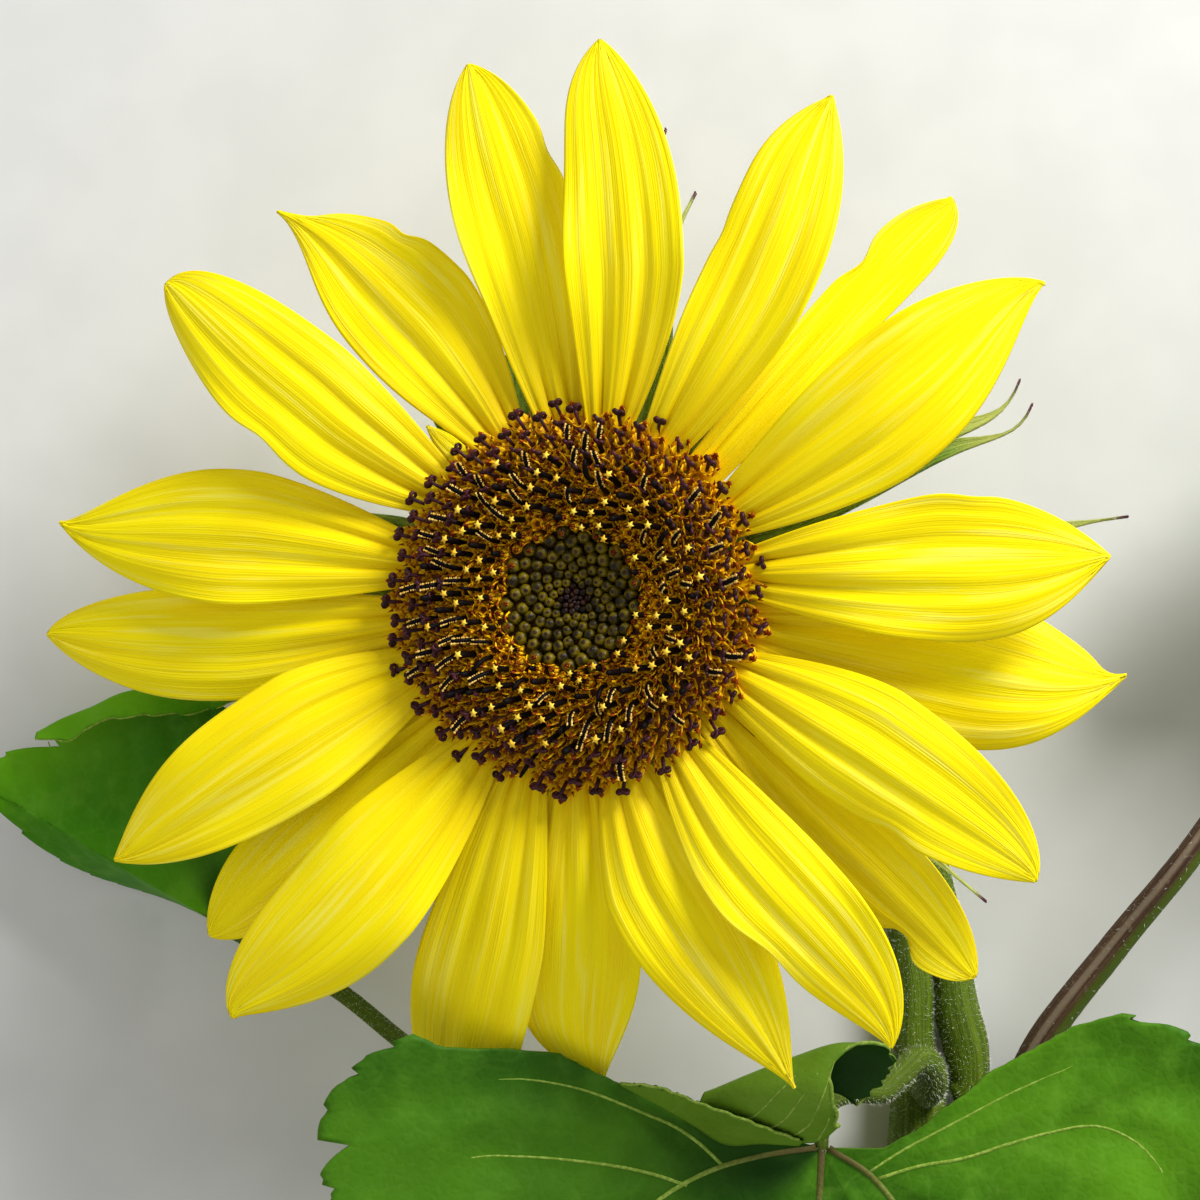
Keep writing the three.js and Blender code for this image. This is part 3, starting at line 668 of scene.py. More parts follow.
def smooth_line(stations, steps):
    """A centripetal Catmull-Rom line through stations at equal steps, and the length up to each of them.
    Columns after the first three ride along."""
    stations = np.array(stations, float)
    padded = np.vstack([2 * stations[0] - stations[1], stations, 2 * stations[-1] - stations[-2]])
    samples = []
    for before, start, end, after in zip(padded, padded[1:], padded[2:], padded[3:]):
        gaps = [np.linalg.norm((q - p)[:3]) ** 0.5 for p, q in ((before, start), (start, end), (end, after))]
        go = (start - before) / gaps[0] - (end - before) / (gaps[0] + gaps[1]) + (end - start) / gaps[1]
        come = (end - start) / gaps[1] - (after - start) / (gaps[1] + gaps[2]) + (after - end) / gaps[2]
        u = np.linspace(0, 1, LINE_SAMPLES, endpoint=False)[:, None]
        leave = (2 * u**3 - 3 * u**2 + 1) * start + (u**3 - 2 * u**2 + u) * go * gaps[1]
        samples.append(leave + (3 * u**2 - 2 * u**3) * end + (u**3 - u**2) * come * gaps[1])
    line = np.vstack([*samples, stations[-1:]])
    lengths = np.concatenate([[0], np.cumsum(np.linalg.norm(np.diff(line[:, :3], axis=0), axis=1))])
    wanted = np.linspace(0, lengths[-1], steps + 1)
    return np.stack([np.interp(wanted, lengths, column) for column in line.T], -1), wanted


def limb(stations, steps, sides, ribs=0, rib_depth=0.0, seed=0):
    """A round limb along a smooth line, with lengthwise ribs: its points, faces and blade attribute."""
    line, lengths = smooth_line(stations, steps)
    tangent = np.gradient(line[:, :3], axis=0)
    tangent /= np.linalg.norm(tangent, axis=1, keepdims=True)
    spoke = np.cross(tangent[0], [0, 0, 1.0])
    angles = np.arange(sides) * TAU / sides
    rng = np.random.default_rng(seed)
    wobble = rng.normal(0, 1, (steps + 1, sides))
    for _ in range(3):
        wobble = sum(np.roll(wobble, step, axis) for axis in (0, 1) for step in (1, -1)) / 4
    points = []
    for row, (centre, way) in enumerate(zip(line, tangent)):
        spoke = spoke - way * spoke.dot(way)
        spoke /= np.linalg.norm(spoke)
        other = np.cross(way, spoke)
        radius = centre[3] * (1 + rib_depth * np.cos(ribs * angles) + LIMB_WOBBLE * wobble[row])
        ring = np.outer(np.cos(angles) * radius, spoke) + np.outer(np.sin(angles) * radius, other)
        points.append(centre[:3] + ring)
    points = np.vstack([*points, line[0, :3], line[-1, :3]])
    turn = np.tile(np.abs(angles / TAU - 0.5) * 2, steps + 1)
    blade = np.stack([turn, np.repeat(lengths, sides), np.full(turn.size, seed)], -1)
    blade = np.vstack([blade, [0.5, 0, seed], [0.5, lengths[-1], seed]])
    faces = []
    first, last = (steps + 1) * sides, (steps + 1) * sides + 1
    for side in range(sides):
        following = (side + 1) % sides
        faces.append([first, following, side])
        faces.append([last, steps * sides + side, steps * sides + following])
        for row in range(0, steps * sides, sides):
            faces.append([row + side, row + following, row + sides + following, row + sides + side])
    return points, faces, blade


# Growing by nodes

def new_tree(name, inputs):
    """A tree with named inputs, its graph and a wire for each of them."""
    tree = bpy.data.node_groups.new(name, "GeometryNodeTree")
    tree.interface.new_socket(name="Geometry", in_out="INPUT", socket_type="NodeSocketGeometry")
    for key, kind in inputs.items():
        tree.interface.new_socket(name=key, in_out="INPUT", socket_type="NodeSocket" + kind)
    tree.interface.new_socket(name="Geometry", in_out="OUTPUT", socket_type="NodeSocketGeometry")
    graph = Graph(tree)
    group = tree.nodes.new("NodeGroupInput")
    wires = {key: Wire(graph, group.outputs[key]) for key in ["Geometry", *inputs]}
    return tree, graph, wires


def close_tree(graph, points, chosen, shape, upright, turn, size, finish):
    """Ends a tree with the shape on the chosen points, turned from upright, as real meshes in a finish."""
    turned = graph.node("FunctionNodeEulerToRotation", {0: turn})
    rotation = graph.node("FunctionNodeRotateRotation", {0: upright, 1: turned}, rotation_space="LOCAL")
    placed = graph.node("GeometryNodeInstanceOnPoints", {
        "Points": points, "Selection": chosen, "Instance": shape, "Rotation": rotation, "Scale": size,
    })
    real = graph.node("GeometryNodeRealizeInstances", {0: placed})
    dressed = graph.node("GeometryNodeSetMaterial", {"Geometry": real, "Material": finish})
    graph.tree.links.new(dressed.socket, graph.tree.nodes.new("NodeGroupOutput").inputs[0])


def random_number(graph, low, high, identity, seed):
    """A random number for each identity, from a fixed seed."""
    return graph.node("FunctionNodeRandomValue", {2: low, 3: high, 7: identity, 8: seed}, 1)


def grow(name, mesh, tree, values):
    """Runs a tree on a mesh and keeps the result as a plain mesh in an object of its own."""
    thing = add_object(name, mesh)
    modifier = thing.modifiers.new("grow", "NODES")
    modifier.node_group = tree
    for item in tree.interface.items_tree:
        if item.name in values:
            modifier[item.identifier] = values[item.name]
    grown = bpy.data.meshes.new_from_object(thing.evaluated_get(bpy.context.evaluated_depsgraph_get()))
    grown.name = name
    thing.modifiers.clear()
    thing.data = grown
    return thing


def dome_height(outside, inside):
    """Height of the dome, from how far a point lies outside and inside of its crest."""
    outer = outside / (DISC_REACH - DOME_CREST_RADIUS)
    inner = inside / DOME_CREST_RADIUS
    return DOME_CREST - outer * outer * DOME_RIM_FALL - inner * DOME_MIDDLE_FALL


def spiral_tree():
    """Sets a shape on the disc's dome, turn by turn by the golden angle. Each leans out from the axis, and
    all of them list a little towards -X, where the bloom faces."""
    tree, graph, wire = new_tree("disc_spiral", {
        "First": "Int", "Count": "Int", "Florets": "Float", "Reach": "Float", "Exponent": "Float",
        "Pick From": "Float", "Pick To": "Float", "Size": "Float", "Uneven": "Float", "Loose": "Float",
        "Sink": "Float", "List": "Float", "Finish": "Material",
    })
    line = graph.node("GeometryNodeMeshLine", {"Count": wire["Count"]})
    number = graph.node("GeometryNodeInputIndex") + wire["First"]

    def stray(most, seed):
        return random_number(graph, -most, most, number, seed)
    share = (number + 0.5) / wire["Florets"]
    radius = wire["Reach"] * share ** wire["Exponent"] + stray(STRAY_OUT, 3) * share
    angle = number * GOLDEN_ANGLE + stray(STRAY_ROUND, 5)
    cosine = angle.sum("COSINE")
    sine = angle.sum("SINE")
    outside = (radius - DOME_CREST_RADIUS).at_least(0.0)
    inside = (DOME_CREST_RADIUS - radius).at_least(0.0)
    height = dome_height(outside, inside) + stray(STRAY_UP, 7) * share - wire["Sink"]
    lean = ((radius - MIDDLE_RADIUS).at_least(0.0) / (DISC_REACH - MIDDLE_RADIUS)) ** TILT_GROWTH * RIM_TILT
    lean = lean + (radius / MIDDLE_RADIUS).at_most(1.0) * MIDDLE_TILT + stray(1.0, 9) * wire["Loose"]
    tilt = lean * math.radians(1)
    out = tilt.sum("SINE")
    aim = graph.vector(cosine * out - wire["List"], sine * out, tilt.sum("COSINE"))
    place = graph.vector(cosine * radius * MM, sine * radius * MM, height * MM)
    seated = graph.node("GeometryNodeSetPosition", {"Geometry": line, "Position": place})
    facing = graph.node("FunctionNodeEulerToRotation", {0: graph.vector(0.0, 0.0, angle)})
    aimed = {"Rotation": facing, "Vector": aim}
    upright = graph.node("FunctionNodeAlignRotationToVector", aimed, axis="Z")
    spin = graph.vector(0.0, 0.0, stray(STRAY_TURN, 11))
    size = share ** FLORET_GROWTH * wire["Size"] * (1 + stray(1.0, 13) * wire["Uneven"])
    pick = random_number(graph, 0.0, 1.0, number, 17)
    above = graph.compare("GREATER_EQUAL", pick, wire["Pick From"])
    below = graph.compare("LESS_THAN", pick, wire["Pick To"])
    chosen = graph.node("FunctionNodeBooleanMath", {0: above, 1: below}, operation="AND")
    close_tree(graph, seated, chosen, wire["Geometry"], upright, spin, size, wire["Finish"])
    return tree


def bristle_tree():
    """Fine pointed hairs that stand out of a surface, but not where they would reach into the ground."""
    tree, graph, wire = new_tree("bristles", {
        "Density": "Float", "Length": "Float", "Thickness": "Float", "Lean": "Float", "Seed": "Int",
        "Finish": "Material",
    })
    hair = graph.node("GeometryNodeMeshCone", {
        "Vertices": 3, "Radius Top": 0.0, "Radius Bottom": wire["Thickness"], "Depth": wire["Length"],
    }, fill_type="NONE")
    place = graph.node("GeometryNodeInputPosition")
    height = graph.node("ShaderNodeSeparateXYZ", {0: place}, 2)
    clear = graph.compare("GREATER_THAN", height, HAIR_CLEARANCE * MM)
    spread = {"Mesh": wire["Geometry"], "Selection": clear, "Density": wire["Density"], "Seed": wire["Seed"]}
    points = graph.node("GeometryNodeDistributePointsOnFaces", spread, "Points")
    upright = Wire(graph, points.socket.node.outputs["Rotation"])
    number = graph.node("GeometryNodeInputIndex")
    forward, aside = [random_number(graph, -1.0, 1.0, number, seed) * wire["Lean"] for seed in (21, 23)]
    nod = graph.vector(forward, aside, 0.0)
    size = random_number(graph, 0.5, 1.3, number, 25)
    close_tree(graph, points, True, hair, upright, nod, size, wire["Finish"])
    return tree


# Rays and bracts

def strap_width(t, claw, belly, sharpness):
    """Half width at t as a share of the greatest: a narrow claw, a belly, then a pointed end."""
    swell = claw + (1 - claw) * (1 - (1 - np.minimum(t / belly, 1)) ** STRAP_SWELL)
    taper = (1 - np.clip((t - belly) / (1 - belly), 0, 1) ** STRAP_TAPER) ** sharpness
    return np.where(t < belly, swell, taper)


def polar(radius, azimuth):
    return np.array([radius * math.cos(math.radians(azimuth)), radius * math.sin(math.radians(azimuth))])


def run_between(base_radius, base_azimuth, reach, tip_azimuth):
    """Base point, the run from there to the tip, and the direction to the left of it."""
    base = polar(base_radius, base_azimuth)
    run = polar(reach, tip_azimuth) - base
    return base, run, np.array([-run[1], run[0]]) / np.linalg.norm(run)


def raised(flat, height, s, t, number):
    """The points of a grid at their heights, and its attribute."""
    return np.concatenate([flat, height[..., None]], -1), np.stack([s, t, np.full_like(t, number)], -1)


def bump(x, middle, width):
    return np.exp(-(((x - middle) / width) ** 2))


def ray_margin(t, margin):
    """How far a margin lies from the line between claw and tip."""
    swell, place, sharpness = margin
    return np.maximum(swell * strap_width(t, CLAW_WIDTH / 2 / swell, place, sharpness), RAY_EDGE)


def nick(t, number, right):
    """How far the nicks of a margin cut in."""
    depth = 0 * t
    for ray, side, where, deep, spread in NICKS:
        if (ray, side) == (number, right):
            depth = depth + deep * bump(t, where, spread)
    return depth * smooth(t, 1, 0.97)


def ray_grid(ray, number):
    """Middle of a ray, its attribute, and its thickness as a share."""
    claw_azimuth, tip_azimuth, reach, tier, droop, left, right = ray
    rng = np.random.default_rng(100 + number)
    base, run, side = run_between(CLAW_RADIUS, claw_azimuth, reach, tip_azimuth)
    scale = (reach - CLAW_RADIUS) / RAY_LENGTH
    crest = TIER_CREST[tier] - TIER_BASE[tier]
    fall = TIER_TIP[tier] + droop - TIER_BASE[tier]
    u, s = grid(*RAY_GRID)
    # Rows stand closer together towards the tip.
    t = 1 - (1 - u) ** 1.5
    wave = rng.uniform(0, TAU, 6)
    out_left = ray_margin(t, left)
    out_right = ray_margin(t, right)
    half = (out_left + out_right) / 2
    centre = (out_left - out_right) / 2
    margin = np.where(s > 0, np.sin(5.2 * t + wave[0]) + 0.5 * np.sin(13 * t + wave[1]),
                      np.sin(5.6 * t + wave[2]) + 0.5 * np.sin(12 * t + wave[3]))
    half = half * (1 + 0.012 * margin * smooth(t, 0, 0.4))
    cut = nick(t, number, True) * np.maximum(-s, 0) ** 3 - nick(t, number, False) * np.maximum(s, 0) ** 3
    middle = base + run * t[..., None] + side * (centre + half * s + cut)[..., None]
    rise = TIER_BASE[tier] + scale * (crest * np.sin(math.pi * np.minimum(t * 0.95, 1)) + fall * t**2)
    # Relief in full on a ray of RAY_WIDTH, and less on a narrow one: furrows, the ridge between them, pleats.
    small = (left[0] + right[0]) / RAY_WIDTH
    furrow = FURROW_DEPTH * small * (1.12 - t) * smooth(t, 0, 0.08)
    drift = 0.05 * np.sin(3.3 * t + wave[4])
    first, second = rng.uniform(0.26, 0.38), rng.uniform(-0.38, -0.26)
    relief = -furrow * (bump(s, first + drift, 0.13) + 0.8 * bump(s, second + drift, 0.13))
    relief += 0.55 * furrow * bump(s, drift, 0.15)
    wide, fine = [
        depth * small * np.cos(TAU * waves * (s + drift) + start)
        for depth, waves, start in zip(PLEAT_DEPTHS, PLEAT_WAVES, wave[4:])
    ]
    relief += wide * (1 - t) ** 0.8 + fine * (1 - 0.5 * t)
    # Margins that roll and wave, a slow bend along the ray, and a twist.
    cup = rng.uniform(-0.14, 0.06) + ROLLED.get(number, 0)
    relief += half * np.abs(s) ** 3 * (cup + 0.11 * margin * smooth(t, 0.05, 0.5))
    relief += 0.5 * small * np.sin(4.4 * t + wave[5]) * smooth(t, 0.1, 0.5)
    relief += rng.uniform(-0.07, 0.07) * half * s * smooth(t, 0.15, 0.8)
    height = rise - 0.03 * half * s * s + relief
    return *raised(middle, height, s, t, number), 1 - 0.55 * np.abs(s) ** 4


def bract_grid(bract, whorl, seed):
    """Middle of a bract, keeled, with a long point that curls a little, and its attribute."""
    base_azimuth, tip_azimuth, reach, bow, late, sharpness = bract
    rng = np.random.default_rng(seed)
    low = BRACT_BASE_HEIGHT[whorl]
    fall = BRACT_TIP_HEIGHT[whorl] - low
    if SAGGING_BRACTS[0] < base_azimuth < SAGGING_BRACTS[1]:
        fall += BRACT_SAG
    base, run, side = run_between(BRACT_BASE_RADIUS - BRACT_STEP * whorl, base_azimuth, reach, tip_azimuth)
    t, s = grid(*BRACT_GRID)
    half = np.maximum(BRACT_WIDTH / 2 * strap_width(t, BRACT_CLAW, BRACT_BELLY, sharpness), BRACT_EDGE)
    sway = bow * np.sin(math.pi * t**late) + rng.uniform(-0.4, 0.4) * np.sin(TAU * t)
    middle = base + run * t[..., None] + side * (sway + half * s)[..., None]
    height = low + fall * t**1.3 + 0.12 * half * s * s - 0.35 * bump(s, 0, 0.18) * (1 - t)
    height = height + rng.uniform(0.4, 1.6) * np.sin(math.pi * t**2)
    return raised(middle, height, s, t, seed)


def make_rays():
    finish = ray_finish()
    for number, ray in enumerate([*RAYS, STUNTED_RAY], 1):
        name = f"{number:02d}" if number <= len(RAYS) else "stunted"
        middle, blade, share = ray_grid(ray, number)
        points, faces = sheet(middle, RAY_THICKNESS * share)
        make_piece(f"petal_{name}", points, faces, twice(blade), HEAD, finish, "ray_petal", [f"ray_{name}"])


def make_bracts(bristles, down):
    finish = bract_finish()
    shapes = []
    for number, bract in enumerate(BRACTS, 1):
        middle, blade = bract_grid(bract, (number - 1) % 2, 300 + number)
        shapes.append(sheet(middle, BRACT_THICKNESS))
        name = f"bract_{number:02d}"
        make_piece(f"{name}_blade", *shapes[-1], twice(blade), HEAD, finish, "bract", [name])
    all_bracts = make_mesh("bract_hairs", *join_shapes(shapes))
    all_bracts.transform(HEAD)
    add_hairs("bract_hairs", all_bracts, bristles, down, BRACT_HAIRS, 3)
    cup = make_cup(finish)
    add_hairs("receptacle_hairs", cup.data.copy(), bristles, down, CUP_HAIRS, 77)


def make_cup(finish):
    """The receptacle, a turned cup with ribs."""
    profile, _ = smooth_line([[radius, 0, height, 0] for radius, height in CUP_PROFILE], CUP_RINGS)
    angles = np.arange(CUP_SIDES) * TAU / CUP_SIDES
    points = []
    for radius, _, height, _ in profile:
        ribs = CUP_RIB_DEPTH * np.cos(CUP_RIBS * angles) * smooth(radius, 6, 16)
        points.append(ring_points(radius * (1 + ribs), height, CUP_SIDES))
    points = np.vstack(points)
    foot = list(range(CUP_SIDES))[::-1]
    top = list(range(len(points) - CUP_SIDES, len(points)))
    faces = [*band_faces(len(profile), CUP_SIDES), foot, top]
    across = np.sin(np.tile(angles, len(profile)) * CUP_RIBS)
    blade = np.stack([across, np.full(len(points), 0.3), np.full(len(points), 9)], -1)
    return make_piece("receptacle_cup", points, faces, blade, HEAD, finish, "bract", ["receptacle"])


def add_hairs(name, surface, bristles, finish, kind, seed):
    """Hairs over a mesh. Their kind is how many stand on a square millimetre, and their length."""
    density, length = kind
    values = {
        "Density": density / MM**2, "Length": length * MM, "Thickness": HAIR_THICKNESS * MM,
        "Lean": HAIR_LEAN, "Seed": seed, "Finish": finish,
    }
    hand_over(grow(name, surface, bristles, values))


# Florets of the disc. Each shape stands on its own axis, z = 0 at the dome.

BAR_SIDES = 4
CURL_RADIUS = 0.29
CURL_STEPS = 7
GRAIN_SCATTER = 0.08


def tube_shape(rings, sides, closed_top=True):
    """A turned shape from (radius, height) rings, open at its foot."""
    points = np.vstack([ring_points(radius, height, sides) for radius, height in rings])
    faces = band_faces(len(rings), sides)
    if closed_top:
        faces.append(list(range(len(points) - sides, len(points))))
    return points, faces


def turned(shape, angle):
    points, faces = shape
    spin = np.array(Matrix.Rotation(angle, 3, "Z"))
    return points @ spin.T, faces


def blade_shape(foot, tip, half_width, depth):
    """A slim pointed wedge from foot to tip, given as (out, up)."""
    points = np.array([
        [foot[0], -half_width, foot[1]], [foot[0], half_width, foot[1]],
        [foot[0] - depth, 0, foot[1]], [tip[0], 0, tip[1]],
    ])
    return points, [[0, 1, 3], [1, 2, 3], [2, 0, 3], [0, 2, 1]]


def round_five(shape):
    return join_shapes([turned(shape, TAU * step / 5) for step in range(5)])


def bar_shape(path, radii):
    """A slim bent bar along (out, up) points."""
    points = []
    path = np.array(path, float)
    way = np.gradient(path, axis=0)
    angles = (np.arange(BAR_SIDES) + 0.5) * TAU / BAR_SIDES
    for (out, up), (run, rise), radius in zip(path, way, radii):
        length = math.hypot(run, rise)
        offset = radius * np.cos(angles)
        ring = [out - offset * rise / length, radius * np.sin(angles), up + offset * run / length]
        points.append(np.stack(ring, -1))
    points = np.vstack(points)
    faces = [[a, d, c, b] for a, b, c, d in band_faces(len(path), BAR_SIDES)]
    faces.append(list(range(len(points) - BAR_SIDES, len(points)))[::-1])
    return points, faces


def star_shape():
    """The pollen that a column pushes up: a small thick star of five points."""
    outline = ring_points(np.tile([0.62, 0.27], 5), 0, 10)
    points = np.vstack([outline, outline + [0, 0, 0.22], [[0, 0, 0.4]]])
    roof = [[10 + side, 10 + (side + 1) % 10, 20] for side in range(10)]
    return points, [*band_faces(2, 10), *roof]


def curl_shape():
    """A style whose two arms roll back on themselves."""
    stalk = bar_shape([[0, -1.0], [0.05, 0.9]], [0.2, 0.24])
    angles = np.linspace(0, math.radians(300), CURL_STEPS)
    outs = 0.06 + CURL_RADIUS * (1 - np.cos(angles))
    ups = 0.95 + CURL_RADIUS * np.sin(angles)
    rolled = bar_shape(np.stack([outs, ups], -1), np.linspace(0.23, 0.17, CURL_STEPS))
    return join_shapes([stalk, turned(rolled, math.radians(68)), turned(rolled, math.radians(-82))])


def grains_shape(path, count, seed):
    """Pollen grains along both sides of a bar: small eight-sided beads."""
    rng = np.random.default_rng(seed)
    bead, sides = tube_shape([(0.0, -0.16), (0.17, 0.0), (0.0, 0.16)], 4, False)
    shares = np.linspace(0, 1, len(path))
    parts = []
    for step in range(count):
        side = 1 if step % 2 else -1
        out, up = [np.interp(0.35 + 0.62 * step / count, shares, line) for line in np.array(path, float).T]
        out += rng.uniform(-GRAIN_SCATTER, GRAIN_SCATTER)
        up += 0.26 + rng.uniform(-GRAIN_SCATTER, GRAIN_SCATTER)
        parts.append((bead * rng.uniform(0.9, 1.5) + [out, side * 0.4, up], sides))
    return join_shapes(parts)


def hood_shape(radius, low, shoulder, tip, spread, wall, foot_flare, top_flare):
    """A pointed scale that stands round the outer side of a floret, from the height low up to its point."""
    angles = np.radians(np.linspace(-spread, spread, 5))
    tops = np.interp(np.abs(angles), [0, math.radians(spread)], [tip, shoulder])
    points = []
    for distance in (radius, radius - wall):
        for lift, flare in ((np.full(5, low), foot_flare), (tops, top_flare)):
            reach = distance * flare
            points.append(np.stack([reach * np.cos(angles), reach * np.sin(angles), lift], -1))
    faces = []
    for step in range(4):
        a, b, c, d = step, step + 5, step + 10, step + 15
        faces += [[a, a + 1, b + 1, b], [c, d, d + 1, c + 1], [b, b + 1, d + 1, d], [a, c, c + 1, a + 1]]
    faces += [[0, 5, 15, 10], [4, 14, 19, 9]]
    return np.vstack(points), faces


def make_disc(spiral):
    """The disc's florets, each kind of part joined in one piece."""
    amber = grainy_finish("floret_amber", (216, 152, 0), (255, 204, 16), 900.0, 0.55, 0.15)
    rust = grainy_finish("floret_rust", (110, 34, 0), (164, 78, 4), 900.0, 0.55, 0.15)
    olive = grainy_finish("bud_olive", (40, 32, 0), (108, 92, 0), 700.0, 0.4, 0.2)
    murk = grainy_finish("bud_murk", (20, 6, 0), (52, 22, 4), 700.0, 0.4, 0.3)
    black = grainy_finish("stamen_black", (4, 2, 2), (16, 7, 7), 900.0, 0.6, 0.08)
    maroon = grainy_finish("style_maroon", (40, 8, 14), (72, 22, 30), 900.0, 0.5, 0.25)
    pollen = grainy_finish("pollen_yellow", (240, 186, 26), (255, 216, 66), 900.0, 0.7)
    cream = grainy_finish("pollen_cream", (204, 156, 52), (238, 200, 104), 900.0, 0.8)
    bed = grainy_finish("disc_bed", (66, 32, 2), (104, 60, 6), 500.0, 0.8)

    radii = np.linspace(0, DISC_REACH - BED_INSET, BED_RINGS)[:0:-1]
    outside = np.maximum(radii - DOME_CREST_RADIUS, 0)
    inside = np.maximum(DOME_CREST_RADIUS - radii, 0)
    rings = zip(radii, dome_height(outside, inside) - BED_DEPTH)
    points, faces = tube_shape([(BED_FOOT_RADIUS, 0.0), *rings], BED_SIDES)
    make_piece("disc_bed", points, faces, None, HEAD, bed, "open_floret", ["disc_florets", "disc_buds"])

    bud = tube_shape([(0.62, -2.4), (0.84, -0.9), (0.78, -0.25), (0.5, 0.14), (0.22, 0.16)], 10)
    # Every other edge of a bud is drawn in.
    bud[0][::2, :2] *= 0.9
    # Pits are small dark caps on the buds' tips: painted shade of the crease there.
    pit = tube_shape([(0.3, 0.06), (0.26, 0.2), (0.1, 0.16)], 5)
    bud_scale = blade_shape((0.95, -1.6), (0.95, 0.5), 0.34, 0.3)
    tube = tube_shape([(0.55, -4.2), (0.8, -2.4), (1.0, -0.8), (0.82, -0.9), (0.5, -2.2)], 5, False)
    lobe = blade_shape((0.9, -1.0), (1.5, 0.4), 0.72, 0.2)
    lobe_tip = blade_shape((1.24, -0.1), (1.6, 0.6), 0.24, 0.2)
    closed = round_five(blade_shape((0.95, -1.2), (0.16, 1.0), 0.66, 0.3))
    closed_tip = round_five(blade_shape((0.44, 0.35), (0.1, 1.3), 0.26, 0.2))
    column = tube_shape([(0.34, -2.0), (0.5, 0.1), (0.54, 2.1), (0.44, 2.9), (0.2, 3.1)], 7)
    bar_path = [[0, -1.5], [0.1, 0.3], [0.7, 1.5], [1.7, 2.4], [2.5, 2.8]]
    bar = bar_shape(bar_path, [0.34, 0.42, 0.45, 0.42, 0.26])
    star_points, star_faces = star_shape()
    lifted_star = (star_points * 1.15 + [0, 0, 3.0], star_faces)
    palea = hood_shape(1.3, -3.4, -0.6, 0.95, 52, 0.12, 0.94, 1.26)
    palea_point = hood_shape(1.53, 0.1, 0.35, 1.1, 18, 0.2, 1.0, 1.1)

    # Name and shape, number of the first and how many from there, the shares of them between which this kind
    # is picked, size, list, finish and slot.
    kinds = [
        ("bud_hearts", bud, 0, 22, 0, 1, 1.9, 0, murk, "floret_bud"),
        ("bud_points", bud_scale, 4, 120, 0, 1, 1.6, 0, murk, "floret_bud"),
        ("bud_domes", bud, 16, 120, 0, 1, 1.9, 0, olive, "floret_bud"),
        # Bud pits are painted shade of the creased bud tips.
        ("bud_pits", pit, 22, 114, 0, 1, 1.9, 0, murk, "floret_bud"),
        ("opening_florets", closed, 124, 44, 0, 1, 1.3, 0.1, amber, "open_floret"),
        ("opening_tips", closed_tip, 124, 44, 0, 1, 1.3, 0.1, rust, "open_floret"),
        ("floret_tubes", tube, 150, 300, 0, 1, 1.12, 0, amber, "open_floret"),
        ("floret_lobes", round_five(lobe), 150, 300, 0, 1, 1.12, 0, amber, "open_floret"),
        ("floret_lobe_tips", round_five(lobe_tip), 150, 300, 0, 1, 1.12, 0, rust, "open_floret"),
        ("paleae", palea, 112, 338, 0, 1, 1.12, 0, amber, "open_floret"),
        ("palea_points", palea_point, 112, 338, 0, 1, 1.12, 0, rust, "open_floret"),
        ("stamen_columns", column, 142, 186, 0, 0.6, 1.05, 0.3, black, "open_floret"),
        ("pollen_stars", lifted_star, 142, 176, 0, 0.36, 1.05, 0.3, pollen, "open_floret"),
        ("style_bars", bar, 185, 190, 0.6, 1, 1.05, 0.2, black, "open_floret"),
        ("pollen_grains", grains_shape(bar_path, 18, 5), 190, 180, 0.62, 1, 1.05, 0.2, cream, "open_floret"),
        ("style_curls", curl_shape(), 280, 178, 0, 1, 1.45, 0.1, maroon, "open_floret"),
    ]
    for name, shape, first, count, pick_from, pick_to, size, tilt, finish, slot in kinds:
        values = {
            "First": first, "Count": count, "Florets": float(DISC_FLORETS), "Reach": DISC_REACH,
            "Exponent": DISC_EXPONENT, "Pick From": float(pick_from), "Pick To": float(pick_to), "Size": size,
            "Uneven": STRAY_SIZE, "Loose": STRAY_TILT, "Sink": FLORET_SINK, "List": float(tilt),
            "Finish": finish,
        }
        thing = grow(name, make_mesh(name, *shape), spiral, values)
        thing.data.transform(HEAD)
        hand_over(thing)


# Leaves

def leaf_reach(angle, leaf, half):
    """How far the blade reaches from its base at an angle from its heading."""
    width, back, lobe = leaf["halves"][half], math.radians(leaf["backs"][half]), leaf["lobes"][half]
    front = np.minimum(angle, TAU / 4)
    straight = 1 / (np.cos(front) / leaf["length"] + np.sin(front) / width)
    forward = straight * (1 + leaf["bulges"][half] * np.sin(2 * front))
    behind = width * (1 - (1 - lobe) * (np.maximum(angle - TAU / 4, 0) / (back - TAU / 4)) ** 2)
    return np.where(angle <= TAU / 4, forward, behind)


def blade_place(leaf, along, across, lift):
    """A point of the blade from its distances along and across the midrib, raised by lift."""
    forward = np.maximum(along / leaf["length"], 0)
    first, second = [slope + twist * forward**2 for slope, twist in zip(leaf["slopes"], leaf["twists"])]
    slope = np.radians(np.where(across > 0, first, second))
    fall = leaf["drop"] * forward**LEAF_DROOP
    y = across * np.cos(slope)
    z = np.abs(across) * np.sin(slope) - fall + lift
    cosine, sine = polar(1, leaf["heading"])
    points = np.stack([along * cosine - y * sine, along * sine + y * cosine, z], -1)
    return points + np.array(leaf["base"])


def side_vein(leaf, half, start, angle):
    """A vein from a point of the midrib, bending forward to the margin at an angle from the heading."""
    side = 1 if half == 0 else -1
    end = 0.95 * leaf_reach(np.array(angle), leaf, half) * np.array([math.cos(angle), side * math.sin(angle)])
    foot = np.array([start, 0.0])
    out = np.array([-0.09, 0.09 * side]) * abs(end[1])
    return np.array([foot, foot + (end - foot) * 0.3 + out, foot + (end - foot) * 0.68 + out, end])


